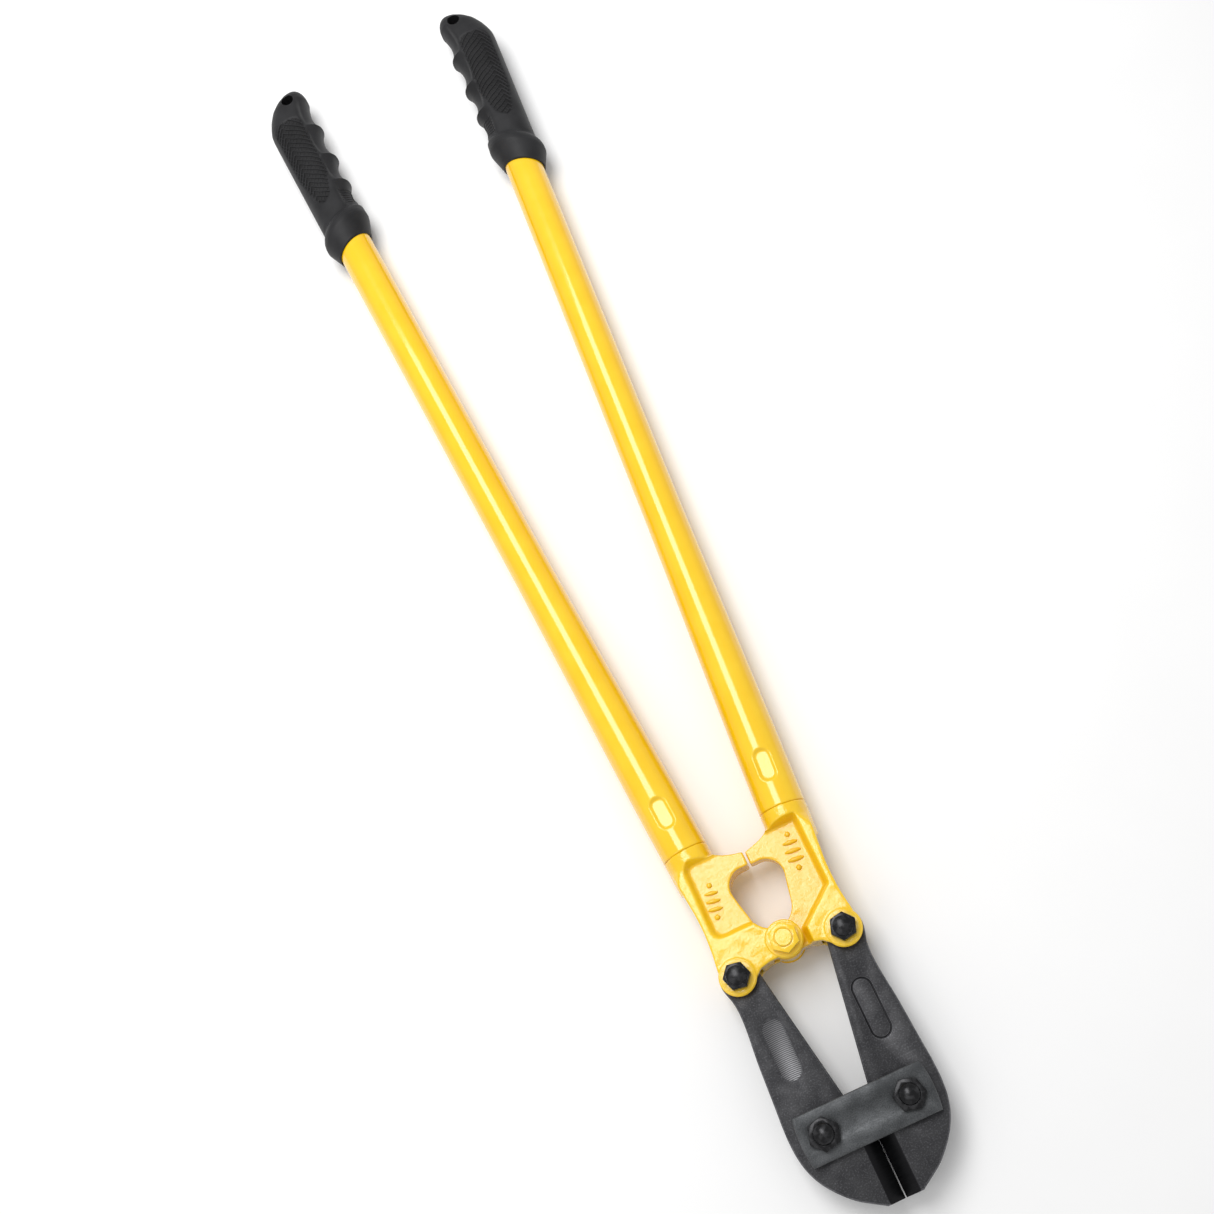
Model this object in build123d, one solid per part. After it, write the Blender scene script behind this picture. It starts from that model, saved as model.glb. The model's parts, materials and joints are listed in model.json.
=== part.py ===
from build123d import *
import math
import os

# Bolt cutters, 900 mm class, lying flat with the grips almost closed.
# X runs across the tool, Y from the jaws towards the grips, Z up from the bench.
# Each right-hand piece is drawn about the centre pivot and mirrored for the left.

# ---------- driving dimensions, mm ----------
REST_HEIGHT = 20.0            # the linkage's mid-plane above the bench
PIVOT_Y = -291.312            # places the whole tool evenly about the origin, front to back

# linkage: centre pivot at (0, 0), one ear pivot and one jaw pivot each side
EAR_X, EAR_Y = 35.1, -8.8
JAW_X, JAW_Y = 27.3, -110.3

# handles
HANDLE_SPLAY = 3.96           # degrees each handle leans out from the tool's axis
HANDLE_X = 28.4               # where the handle's axis crosses the pivot's line
TUBE_START = 75.0             # measured along the handle from the pivot's line
TUBE_END = 706.0
TUBE_THICK_R = 15.0           # at the casting
TUBE_THIN_R = 13.5            # at the grip
TAPER_START, TAPER_END = 122.0, 290.0
TUBE_WALL = 2.0
STAKE_AT = 102.0              # centre of the pressed pocket that locks the tube
STAKE_LENGTH, STAKE_WIDTH, STAKE_DEPTH = 20.5, 10.5, 2.2
STAKE_CORNER = 4.0
NECK_START = 66.0             # where the casting has turned round to meet the tube
SPIGOT_LENGTH = 46.0          # how far the casting reaches into the tube

# castings
CAST_HALF = 13.5              # half thickness of the rims and the hub
TONGUE_HALF = 6.0
FORK_GAP_HALF = 6.15
POCKET_FLOOR = 9.5            # height of the left pocket's floor over the mid-plane
HUB_R = 10.9
TONGUE_R = 11.6
FORK_GAP_R = 13.8
BOSS_R, BOSS_RISE = 10.9, 1.0
EAR_R = 11.4
CLEVIS_R = 14.8
WALL_DRAFT = 20.0             # degrees, the recess walls leaning out of the mould
STOP_GAP_HALF = 0.65          # between each stop and the tool's axis
STOP_LOW, STOP_TOP = 50.7, 59.2
RIM_WALL_X = 36.2             # foot of the thick outer rim's inner face
PANEL_TOP = 64.3              # where the right recess meets the neck
POCKET_LOW, POCKET_TOP = 18.2, 64.3
POCKET_CORNER = 4.0
SHOULDER_R = 26.0             # where the outer corners start turning round into the neck
SHOULDER_RUN = 28.0

# jaws
JAW_HALF = 8.0
CLEVIS_HALF = 8.2
TANG_R = 12.0
TIP_Y = -160.0
TIP_HALF_WIDTH = 11.2
EDGE_GAP_HALF = 0.35          # between each cutting edge and the tool's axis
EDGE_HALF_THICK = 0.7
BEVEL_WIDTH = 9.0
BLADE_START_Y = -119.0
JAW_CHAMFER = 0.9
SLOT_Y, SLOT_X = -57.2, 29.4
SLOT_LENGTH, SLOT_WIDTH, SLOT_DEPTH = 38.0, 13.2, 1.0
LINK_PLAY = 5.2               # side play of the right jaw on its bolt, for the fold
LINK_SLACK = 0.4
GROOVE_WIDTH = 1.2            # round the right jaw's slot

# strap plates
PLATE_GAP = 0.15
PLATE_THICK = 5.6
PLATE_HALF_LENGTH, PLATE_HALF_WIDTH = 42.4, 15.1
PLATE_END_BULGE = 1.6
PLATE_EDGE = 0.6
PLATE_FIT = 0.02              # the jaw bolts are a close fit in the plates

# fasteners: shank radius, nut across flats, nut height, end radius, end rise
RUNNING = 0.05                # radial clearance of a turning fit
CENTRE_BOLT = dict(shank=5.6, flats=16.6, nut=6.0, end=5.4, rise=0.9)
EAR_BOLT = dict(shank=5.0, flats=15.0, nut=6.4, end=6.2, rise=2.4)
JAW_BOLT = dict(shank=6.0, flats=17.6, nut=4.6, end=6.3, rise=4.2)
HEAD_R_EXTRA, HEAD_EDGE = 4.0, 1.5
NUT_TURN_OUT, NUT_TURN_IN, NUT_TURN_RISE = 2.6, 0.4, 2.0

# grips, measured along the handle and sideways from its axis (outwards is positive)
GRIP_CORE_R = 16.4
GRIP_SLAB_HALF = 12.5
GRIP_SHOULDER = 711.0
GRIP_SIDE = 16.3
GRIP_SCALLOPS = ((-16.1, 628.5), (-19.8, 645.0), (-16.7, 658.2), (-20.6, 671.5), (-17.1, 686.5),
                 (-21.3, 701.6), (-17.6, 716.5))
GRIP_TAIL = ((-21.1, 729.0), (-21.3, 734.0), (-20.3, 738.5), (-17.5, 742.0), (-13.0, 743.5), (-8.0, 742.6),
             (-3.0, 740.3), (3.0, 736.5), (8.2, 731.5), (12.4, 724.5), (14.6, 719.0), (15.9, 715.0))
MOUTH_AT, COLLAR_BACK_AT = 590.5, 620.0
COLLAR_RINGS = ((MOUTH_AT, 14.9), (606.0, 19.8), (610.5, 19.4), (614.0, 17.2), (COLLAR_BACK_AT, 16.4))
MOUTH_SLANT = 18.5            # degrees, the outer side reaching nearer to the jaws
HANG_HOLE_R = 4.75
HANG_HOLE_AT, HANG_HOLE_OUT = 731.5, -8.4

TOP_OF_CAST = CAST_HALF + BOSS_RISE
TOP_OF_PLATE = JAW_HALF + PLATE_GAP + PLATE_THICK


# ---------- shared helpers ----------
def drum(radius, low, high, x=0.0, y=0.0):
    """A round bar standing along Z between two heights."""
    return Pos(x, y, (low + high) / 2) * Cylinder(radius, high - low)


def slab(face, low, high, draft=0.0):
    """A flat outline raised between two heights, widening upwards by the draft angle."""
    return Pos(0, 0, low) * extrude(face, high - low, taper=-draft)


def on_handle(shape):
    """Put a shape drawn along a handle's own axis in its place on the right."""
    return Pos(HANDLE_X, 0, 0) * Rot(0, 0, -HANDLE_SPLAY) * shape


def along(radius, start, end, end_radius=None):
    """A round bar or cone along the handle's axis."""
    length = end - start
    if end_radius is None:
        bar = Cylinder(radius, length)
    else:
        bar = Cone(radius, end_radius, length)
    return Pos(0, (start + end) / 2, 0) * Rot(-90, 0, 0) * bar


def mirrored(shape):
    return mirror(shape, about=Plane.YZ)


def both_faces(shape):
    """The shape and its copy on the underside."""
    return [shape, mirror(shape, about=Plane.XY)]


def save(shape, name):
    placed = Pos(0, PIVOT_Y, REST_HEIGHT) * shape
    placed.label = name
    export_step(placed, os.path.join("parts", name + ".step"))


# ---------- castings ----------
def casting_web():
    """Plan outline of the right casting between the hub, the ear and the tube."""
    window_wide = (17.4, 37.8)
    with BuildSketch() as outline:
        with BuildLine():
            Polyline((0, 9.4), (0, -8.6), (13.8, -8.6), (20.4, -10.2), (25.1, -14.2),
                     (EAR_X - 4, EAR_Y - 10.5), (EAR_X + 8.4, EAR_Y - 7.6), (45.0, -1.2))
            Spline((45.0, -1.2), (43.0, 17.2), (44.0, 41.4))
            Polyline((44.0, 41.4), (46.9, 68.0), (33.0, 68.0), (27.0, 65.4), (17.8, 65.4))
            Spline((17.8, 65.4), (12.6, 62.6), (6.0, 60.4))
            Polyline((6.0, 60.4), (STOP_GAP_HALF, STOP_TOP), (STOP_GAP_HALF, STOP_LOW), (7.0, STOP_LOW))
            ThreePointArc((7.0, STOP_LOW), (14.9, 46.5), window_wide)
            Line(window_wide, (13.4, 19.6))
            ThreePointArc((13.4, 19.6), (10.0, 13.0), (4.8, 9.4))
            Line((4.8, 9.4), (0, 9.4))
        make_face()
    return outline.sketch


def casting_blank():
    """The right casting before its hub and pockets are cut."""
    web = slab(casting_web(), -CAST_HALF, CAST_HALF)
    ear = drum(EAR_R, -CAST_HALF, CAST_HALF, EAR_X, EAR_Y)
    neck = on_handle(along(TUBE_THICK_R, NECK_START - 14, TUBE_START - 0.1))
    spigot = on_handle(along(TUBE_THICK_R - TUBE_WALL - RUNNING, TUBE_START - 5, TUBE_START + SPIGOT_LENGTH))
    ring = drum(BOSS_R, -TOP_OF_CAST, TOP_OF_CAST, EAR_X, EAR_Y)
    blank = web + neck + ear + spigot + ring
    return blank - shoulder_cut() - stake_relief()


def shoulder_cut():
    """Trims the web's outer corners so that it turns round into the neck."""
    flat_at = NECK_START - SHOULDER_RUN
    cone = along(SHOULDER_R, flat_at, NECK_START, TUBE_THICK_R) + along(TUBE_THICK_R, NECK_START, TUBE_START)
    block = Pos(20, (flat_at + TUBE_START) / 2, 0) * Box(40, TUBE_START - flat_at, 60)
    return on_handle(block - cone)


def stake_relief():
    """Room in the spigot for the pressed pockets of the tube."""
    pocket = RectangleRounded(STAKE_WIDTH + 5, STAKE_LENGTH + 5, 5.5)
    low = TUBE_THICK_R - STAKE_DEPTH - TUBE_WALL - 0.3
    shape = slab(pocket, low, TUBE_THICK_R + 1)
    return on_handle(Pos(0, STAKE_AT, 0) * Compound(both_faces(shape)))


def clevis_cut():
    """The slot in the ear that takes the jaw's tang, open towards the jaws."""
    around = drum(CLEVIS_R, -CLEVIS_HALF, CLEVIS_HALF, EAR_X, EAR_Y)
    below = Pos(EAR_X + 5, EAR_Y - 20, 0) * Box(2 * CLEVIS_R + 10, 40, 2 * CLEVIS_HALF)
    outside = Pos(EAR_X + 20, EAR_Y - 6, 0) * Box(40, 12, 2 * CLEVIS_HALF)
    return around + below + outside + drum(EAR_BOLT["shank"] + RUNNING, -20, 20, EAR_X, EAR_Y)


def right_panel():
    """Outline of the right casting's thin panel, which runs down to the hub."""
    return make_face(Polyline((RIM_WALL_X, PANEL_TOP), (RIM_WALL_X, 20.4), (12.9, 2.2), (12.9, -30),
                              (-30, -30), (-30, PANEL_TOP), close=True))


def right_casting():
    """Tongue half of the centre pivot: a thin panel inside a thick outer rim."""
    hub = drum(TONGUE_R, -TONGUE_HALF, TONGUE_HALF)
    blank = casting_blank() + hub
    for cut in both_faces(slab(right_panel(), TONGUE_HALF, CAST_HALF + 3, WALL_DRAFT)):
        blank -= cut
    return blank - clevis_cut() - drum(CENTRE_BOLT["shank"] + RUNNING, -20, 20)


def left_pocket():
    """Outline of the left casting's pocket, drawn on the right before mirroring."""
    middle, height = (POCKET_TOP + POCKET_LOW) / 2, POCKET_TOP - POCKET_LOW
    box = Pos(RIM_WALL_X - 14, middle, 0) * RectangleRounded(28, height, POCKET_CORNER)
    mouth = Pos(9, middle, 0) * Rectangle(22, height)
    return box + mouth


def left_casting():
    """Fork half of the centre pivot: two cheeks either side of the tongue."""
    hub = drum(HUB_R, -CAST_HALF, CAST_HALF)
    boss = drum(BOSS_R, -TOP_OF_CAST, TOP_OF_CAST)
    blank = casting_blank() + hub + boss
    for cut in both_faces(slab(left_pocket(), POCKET_FLOOR, CAST_HALF + 3, 1.6 * WALL_DRAFT)):
        blank -= cut
    gap = drum(FORK_GAP_R, -FORK_GAP_HALF, FORK_GAP_HALF)
    sweep = Pos(-6, -FORK_GAP_R, 0) * Box(28, 2 * FORK_GAP_R, 2 * FORK_GAP_HALF)
    opening = Pos(-10, 4, 0) * Box(20, 24, 2 * FORK_GAP_HALF)
    blank = blank - gap - sweep - opening
    return mirrored(blank - clevis_cut() - drum(CENTRE_BOLT["shank"] + RUNNING, -20, 20))


# ---------- handles ----------
def stake_floor():
    """The pressed-in wall under each pocket of the tube."""
    outline = RectangleRounded(STAKE_WIDTH + 3, STAKE_LENGTH + 3, 5)
    floor = TUBE_THICK_R - STAKE_DEPTH
    return Pos(0, STAKE_AT, 0) * Compound(both_faces(slab(outline, floor - TUBE_WALL, TUBE_THICK_R - 1)))


def handle_tube():
    """A steel tube, thick at the casting, tapering to the grip."""
    thick = along(TUBE_THICK_R, TUBE_START, TAPER_START)
    taper = along(TUBE_THICK_R, TAPER_START, TAPER_END, TUBE_THIN_R)
    thin = along(TUBE_THIN_R, TAPER_END, TUBE_END)
    outside = thick + taper + thin
    bore = along(TUBE_THICK_R - TUBE_WALL, TUBE_START - 1, TAPER_START)
    bore += along(TUBE_THICK_R - TUBE_WALL, TAPER_START, TAPER_END, TUBE_THIN_R - TUBE_WALL)
    bore += along(TUBE_THIN_R - TUBE_WALL, TAPER_END, TUBE_END + 1)
    tube = outside - bore + (stake_floor() & outside)
    outline = RectangleRounded(STAKE_WIDTH, STAKE_LENGTH, STAKE_CORNER)
    for pocket in both_faces(slab(outline, TUBE_THICK_R - STAKE_DEPTH, 30)):
        tube -= Pos(0, STAKE_AT, 0) * pocket
    return on_handle(tube)


# ---------- grips ----------
def grip_outline():
    """Plan of the grip behind its collar: finger scallops inside, straight outside."""
    start = COLLAR_BACK_AT - 8
    inner = (-19.8, start)
    outer = (GRIP_SIDE, GRIP_SHOULDER)
    with BuildSketch() as outline:
        with BuildLine():
            Spline(inner, *GRIP_SCALLOPS, *GRIP_TAIL, outer)
            Polyline(outer, (GRIP_SIDE, start), inner)
        make_face()
    return outline.sketch


def grip_collar():
    """The slanted hand guard that narrows to the grip's mouth."""
    stretch = 1 / math.cos(math.radians(MOUTH_SLANT))
    rings = []
    for place, radius in COLLAR_RINGS:
        ring = Rot(-90, 0, 0) * Ellipse(radius * stretch, radius)
        rings.append((Pos(0, place, 0) * Rot(0, 0, -MOUTH_SLANT) * ring).face())
    return loft(rings, ruled=True)


def grip():
    """Moulded rubber grip over the tube's end, with a hang hole in its tail."""
    core = along(GRIP_CORE_R, COLLAR_BACK_AT - 8, GRIP_SHOULDER - 1)
    body = slab(grip_outline(), -GRIP_SLAB_HALF, GRIP_SLAB_HALF)
    solid = core + body + grip_collar()
    solid -= along(TUBE_THIN_R, MOUTH_AT - 20, TUBE_END)
    solid -= drum(HANG_HOLE_R, -30, 30, HANG_HOLE_OUT, HANG_HOLE_AT)
    return on_handle(solid)


# ---------- jaws ----------
def jaw_outline():
    """Plan of the right jaw: tang, waist, round shoulder and flat tip."""
    inner_front = (7.6, -96.0)
    reach = math.hypot(EAR_X - inner_front[0], EAR_Y - inner_front[1])
    heading = math.atan2(EAR_Y - inner_front[1], EAR_X - inner_front[0]) + math.asin(TANG_R / reach)
    touch = (EAR_X - TANG_R * math.sin(heading), EAR_Y + TANG_R * math.cos(heading))
    outer_rear = (EAR_X + TANG_R, EAR_Y)
    tip_outer = (TIP_HALF_WIDTH, TIP_Y)
    shoulder = [(44.7, -19.5), (43.6, -32.0), (45.6, -56.0), (47.3, -84.0), (48.3, -108.0),
                (41.4, -133.9), (26.6, -150.4)]
    with BuildSketch() as outline:
        with BuildLine():
            ThreePointArc(touch, (EAR_X, EAR_Y + TANG_R), outer_rear)
            Spline(outer_rear, *shoulder, tip_outer, tangents=((0, -1), (-1, -0.62)))
            Polyline(tip_outer, (EDGE_GAP_HALF, TIP_Y), (EDGE_GAP_HALF, BLADE_START_Y),
                     (4.4, BLADE_START_Y + 4), inner_front, touch)
        make_face()
    return outline.sketch


def blade_bevel():
    """Wedge cut away above the cutting edge."""
    drop = JAW_HALF - EDGE_HALF_THICK
    section = Plane.XZ * make_face(Polyline((EDGE_GAP_HALF - 1, JAW_HALF + 1),
                                            (EDGE_GAP_HALF - 1, EDGE_HALF_THICK - drop / BEVEL_WIDTH),
                                            (EDGE_GAP_HALF, EDGE_HALF_THICK),
                                            (EDGE_GAP_HALF + BEVEL_WIDTH, JAW_HALF),
                                            (EDGE_GAP_HALF + BEVEL_WIDTH, JAW_HALF + 1), close=True))
    length = BLADE_START_Y + 5 - TIP_Y + 10
    return Pos(0, BLADE_START_Y + 5, 0) * extrude(section, length)


def jaw_blank():
    """The right jaw, chamfered all round, with its bevels and both bolt holes."""
    blank = slab(jaw_outline(), -JAW_HALF, JAW_HALF)
    rims = blank.faces().filter_by(Axis.Z).edges()
    blank = chamfer(rims, JAW_CHAMFER)
    for wedge in both_faces(blade_bevel()):
        blank -= wedge
    return blank - drum(EAR_BOLT["shank"] + RUNNING, -20, 20, EAR_X, EAR_Y)


def slot_outline(width, length):
    return Pos(SLOT_X, SLOT_Y, 0) * Rot(0, 0, 90) * SlotOverall(length, width)


def left_jaw():
    """Jaw whose slots are sunk pockets; its bolt turns in a close round hole."""
    jaw = jaw_blank()
    for pocket in both_faces(slab(slot_outline(SLOT_WIDTH, SLOT_LENGTH), JAW_HALF - SLOT_DEPTH, 20)):
        jaw -= pocket
    jaw -= drum(JAW_BOLT["shank"] + RUNNING, -20, 20, JAW_X, JAW_Y)
    return mirrored(jaw)


def right_jaw():
    """Jaw whose slots are outlined by a groove; its bolt hole is a short side slot."""
    ring = slot_outline(SLOT_WIDTH, SLOT_LENGTH)
    ring -= slot_outline(SLOT_WIDTH - 2 * GROOVE_WIDTH, SLOT_LENGTH - 2 * GROOVE_WIDTH)
    jaw = jaw_blank()
    for groove in both_faces(slab(ring, JAW_HALF - SLOT_DEPTH, 20)):
        jaw -= groove
    hole_r = JAW_BOLT["shank"] + LINK_SLACK
    hole = Pos(JAW_X, JAW_Y, 0) * SlotOverall(2 * (hole_r + LINK_PLAY), 2 * hole_r)
    return jaw - slab(hole, -20, 20)


# ---------- strap plates ----------
def strap_plate():
    """One flat plate across both jaws, its ends slightly convex."""
    end_x = PLATE_HALF_LENGTH - PLATE_END_BULGE
    wide = PLATE_HALF_WIDTH
    with BuildSketch() as outline:
        with BuildLine():
            Line((-end_x, -wide), (end_x, -wide))
            ThreePointArc((end_x, -wide), (PLATE_HALF_LENGTH, 0), (end_x, wide))
            Line((end_x, wide), (-end_x, wide))
            ThreePointArc((-end_x, wide), (-PLATE_HALF_LENGTH, 0), (-end_x, -wide))
        make_face()
    plate = slab(outline.sketch, JAW_HALF + PLATE_GAP, TOP_OF_PLATE)
    plate = chamfer(plate.faces().sort_by(Axis.Z)[-1].edges(), PLATE_EDGE)
    plate = Pos(0, JAW_Y, 0) * plate
    for side in (-1, 1):
        plate -= drum(JAW_BOLT["shank"] + PLATE_FIT, 0, 30, side * JAW_X, JAW_Y)
    return plate


# ---------- fasteners ----------
def bolt(sizes, seat, x, y):
    """Round-headed bolt from below, its domed end proud of the nut."""
    end_z = seat + sizes["nut"]
    shank = drum(sizes["shank"], -seat - 0.01, end_z, x, y)
    dome_r = sizes["end"]
    rise = sizes["rise"]
    ball_r = (dome_r ** 2 + rise ** 2) / (2 * rise)
    ball = Pos(x, y, end_z + rise - ball_r) * Sphere(ball_r)
    dome = ball & drum(dome_r, end_z, end_z + rise + 1, x, y)
    head_r = sizes["shank"] + HEAD_R_EXTRA
    head = drum(head_r, -REST_HEIGHT, -seat, x, y)
    rims = head.edges().filter_by(GeomType.CIRCLE).group_by(Axis.Z)[0]
    head = fillet(rims, HEAD_EDGE)
    return shank + dome + head


def nut(sizes, seat, x, y, turn):
    """Hexagonal nut with its top corners turned off at an angle."""
    flats = sizes["flats"]
    corner_r = flats / math.sqrt(3)
    hexagon = Rot(0, 0, turn) * RegularPolygon(corner_r, 6)
    body = slab(hexagon, seat, seat + sizes["nut"])
    turned = Cone(corner_r + NUT_TURN_OUT, flats / 2 - NUT_TURN_IN, NUT_TURN_RISE)
    cap = Pos(0, 0, seat + sizes["nut"] - NUT_TURN_RISE / 2) * turned
    low = drum(corner_r + 1, seat, seat + sizes["nut"] - NUT_TURN_RISE + 0.1)
    body = body & (low + cap)
    bore = drum(sizes["shank"], seat - 1, seat + sizes["nut"] + 1)
    return Pos(x, y, 0) * (body - bore)


def main():
    os.makedirs("parts", exist_ok=True)
    save(left_casting(), "left_handle_casting")
    save(right_casting(), "right_handle_casting")
    tube = handle_tube()
    save(mirrored(tube), "left_handle_tube")
    save(tube, "right_handle_tube")
    rubber = grip()
    save(mirrored(rubber), "left_grip")
    save(rubber, "right_grip")
    save(left_jaw(), "left_jaw")
    save(right_jaw(), "right_jaw")
    plate = strap_plate()
    save(plate, "upper_strap_plate")
    save(mirror(plate, about=Plane.XY), "lower_strap_plate")
    save(bolt(CENTRE_BOLT, TOP_OF_CAST, 0, 0), "centre_bolt")
    save(nut(CENTRE_BOLT, TOP_OF_CAST, 0, 0, 24), "centre_nut")
    for side, name in ((-1, "left"), (1, "right")):
        save(bolt(EAR_BOLT, TOP_OF_CAST, side * EAR_X, EAR_Y), name + "_ear_bolt")
        save(nut(EAR_BOLT, TOP_OF_CAST, side * EAR_X, EAR_Y, 10 * side), name + "_ear_nut")
        save(bolt(JAW_BOLT, TOP_OF_PLATE, side * JAW_X, JAW_Y), name + "_jaw_bolt")
        save(nut(JAW_BOLT, TOP_OF_PLATE, side * JAW_X, JAW_Y, -14 * side), name + "_jaw_nut")


main()
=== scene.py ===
"""Looks for a pair of bolt cutters, 900 mm class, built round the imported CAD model.

The tool lies flat with its grips nearly closed. The classes hold their sizes in millimetres, measured
from the centre pivot, and every mesh is written in metres in the shared frame.
"""

import json
import logging
import math
from dataclasses import dataclass
from enum import Enum
from typing import Any, Sequence

import bmesh
import bpy
import numpy as np
from mathutils import Matrix, Vector, noise

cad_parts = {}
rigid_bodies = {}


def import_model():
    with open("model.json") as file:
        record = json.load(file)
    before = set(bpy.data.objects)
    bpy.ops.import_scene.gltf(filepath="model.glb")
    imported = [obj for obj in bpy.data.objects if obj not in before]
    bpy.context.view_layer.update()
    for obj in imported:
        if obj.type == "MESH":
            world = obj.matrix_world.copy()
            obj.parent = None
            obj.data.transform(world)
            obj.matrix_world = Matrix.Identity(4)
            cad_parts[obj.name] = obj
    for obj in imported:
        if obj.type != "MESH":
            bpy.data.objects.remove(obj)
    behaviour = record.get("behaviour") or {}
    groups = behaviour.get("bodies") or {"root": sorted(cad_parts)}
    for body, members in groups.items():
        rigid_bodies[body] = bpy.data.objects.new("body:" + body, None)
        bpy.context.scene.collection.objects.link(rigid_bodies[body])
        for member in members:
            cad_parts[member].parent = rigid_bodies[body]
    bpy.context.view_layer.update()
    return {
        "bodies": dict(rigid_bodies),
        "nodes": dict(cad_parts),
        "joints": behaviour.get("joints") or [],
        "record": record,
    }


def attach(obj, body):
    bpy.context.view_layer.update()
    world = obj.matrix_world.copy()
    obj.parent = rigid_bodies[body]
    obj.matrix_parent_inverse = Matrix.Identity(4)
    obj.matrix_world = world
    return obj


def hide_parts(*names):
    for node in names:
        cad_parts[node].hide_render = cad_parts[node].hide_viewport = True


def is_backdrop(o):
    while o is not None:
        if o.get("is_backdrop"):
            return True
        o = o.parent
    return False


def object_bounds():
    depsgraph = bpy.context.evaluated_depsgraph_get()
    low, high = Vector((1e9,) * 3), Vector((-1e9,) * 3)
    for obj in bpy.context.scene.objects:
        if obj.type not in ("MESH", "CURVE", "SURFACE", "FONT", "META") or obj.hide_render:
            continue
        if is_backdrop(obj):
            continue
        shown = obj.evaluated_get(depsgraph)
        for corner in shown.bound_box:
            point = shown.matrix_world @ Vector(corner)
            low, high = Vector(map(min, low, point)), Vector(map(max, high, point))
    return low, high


LOG = logging.getLogger("bolt_cutters")
MM = 0.001
MERGE_DISTANCE = 2e-6
# a wave texture repeats this many times over one unit of its scale
WAVE_BAND = 2 * math.pi / 20


class Side(Enum):
    """Which half of the tool a piece belongs to; the value is the sign of its X."""

    LEFT = -1
    RIGHT = 1

    @property
    def word(self) -> str:
        """The side's name as the CAD nodes spell it."""
        return self.name.lower()


class Facet(Enum):
    """What a face of a forged piece is, which decides its finish."""

    SKIN = 0
    GROUND = 1
    MILLED = 2
    # chamfer bands painted lighter: part rubbed wear, part painted highlight
    WORN = 3


# ---------------------------------------------------------------- colours and nodes


def linear(colour: str) -> tuple[float, float, float, float]:
    """Turns an sRGB hex colour to linear.

    Args:
        colour: "#RRGGBB".

    Returns:
        Linear red, green, blue and an alpha of one.
    """
    parts = [int(colour[i : i + 2], 16) / 255 for i in (1, 3, 5)]
    r, g, b = (c / 12.92 if c <= 0.04045 else ((c + 0.055) / 1.055) ** 2.4 for c in parts)
    return r, g, b, 1.0


def per_metre(size_mm: float) -> float:
    """The texture scale whose pattern repeats about once in that many millimetres."""
    return 1.0 / (size_mm * MM)


def add_node(tree: bpy.types.NodeTree, kind: str, inputs: dict | None = None,
             **settings: Any) -> bpy.types.Node:
    """Adds a node with its settings, values and links.

    Args:
        tree: the node tree of a material or of a Geometry Nodes group.
        kind: the node's type name.
        inputs: input name or number, to a value or to the output socket that feeds it.
        settings: the node's own properties.

    Returns:
        The new node.
    """
    node = tree.nodes.new(kind)
    for key, value in settings.items():
        setattr(node, key, value)
    for key, value in (inputs or {}).items():
        socket = node.inputs[key]
        if isinstance(value, bpy.types.NodeSocket):
            tree.links.new(value, socket)
        else:
            socket.default_value = value
    return node


MIX_RESULT = 2


def between(factor: Any, low: Any, high: Any) -> dict:
    """A colour mix's inputs.

    Args:
        factor: nought for the low colour, one for the high one; a number or a socket.
        low: the first colour, a hex value or a socket.
        high: the second colour.

    Returns:
        Input numbers and their values.
    """
    low, high = (linear(c) if isinstance(c, str) else c for c in (low, high))
    return {0: factor, 6: low, 7: high}


def ramp(value: Any, start: float, stop: float, low: float = 0.0, high: float = 1.0) -> dict:
    """A map range's inputs, which turn a value's span from start to stop into low to high, clamped."""
    return {"Value": value, "From Min": start, "From Max": stop, "To Min": low, "To Max": high}


@dataclass(frozen=True)
class Finish:
    """What every finish shares: a name, and a way to start and close its node tree."""

    name: str

    def start(self) -> tuple[bpy.types.Material, bpy.types.NodeTree, bpy.types.NodeSocket]:
        """Makes the empty material.

        Returns:
            The material, its tree and the object coordinates.
        """
        material = bpy.data.materials.new(self.name)
        material.use_nodes = True
        tree = material.node_tree
        tree.nodes.clear()
        place = add_node(tree, "ShaderNodeTexCoord").outputs["Object"]
        return material, tree, place

    def close(self, tree: bpy.types.NodeTree, inputs: dict) -> None:
        """Ends the tree with a principled shader that takes those inputs."""
        shader = add_node(tree, "ShaderNodeBsdfPrincipled", inputs)
        add_node(tree, "ShaderNodeOutputMaterial", {"Surface": shader.outputs["BSDF"]})


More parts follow.
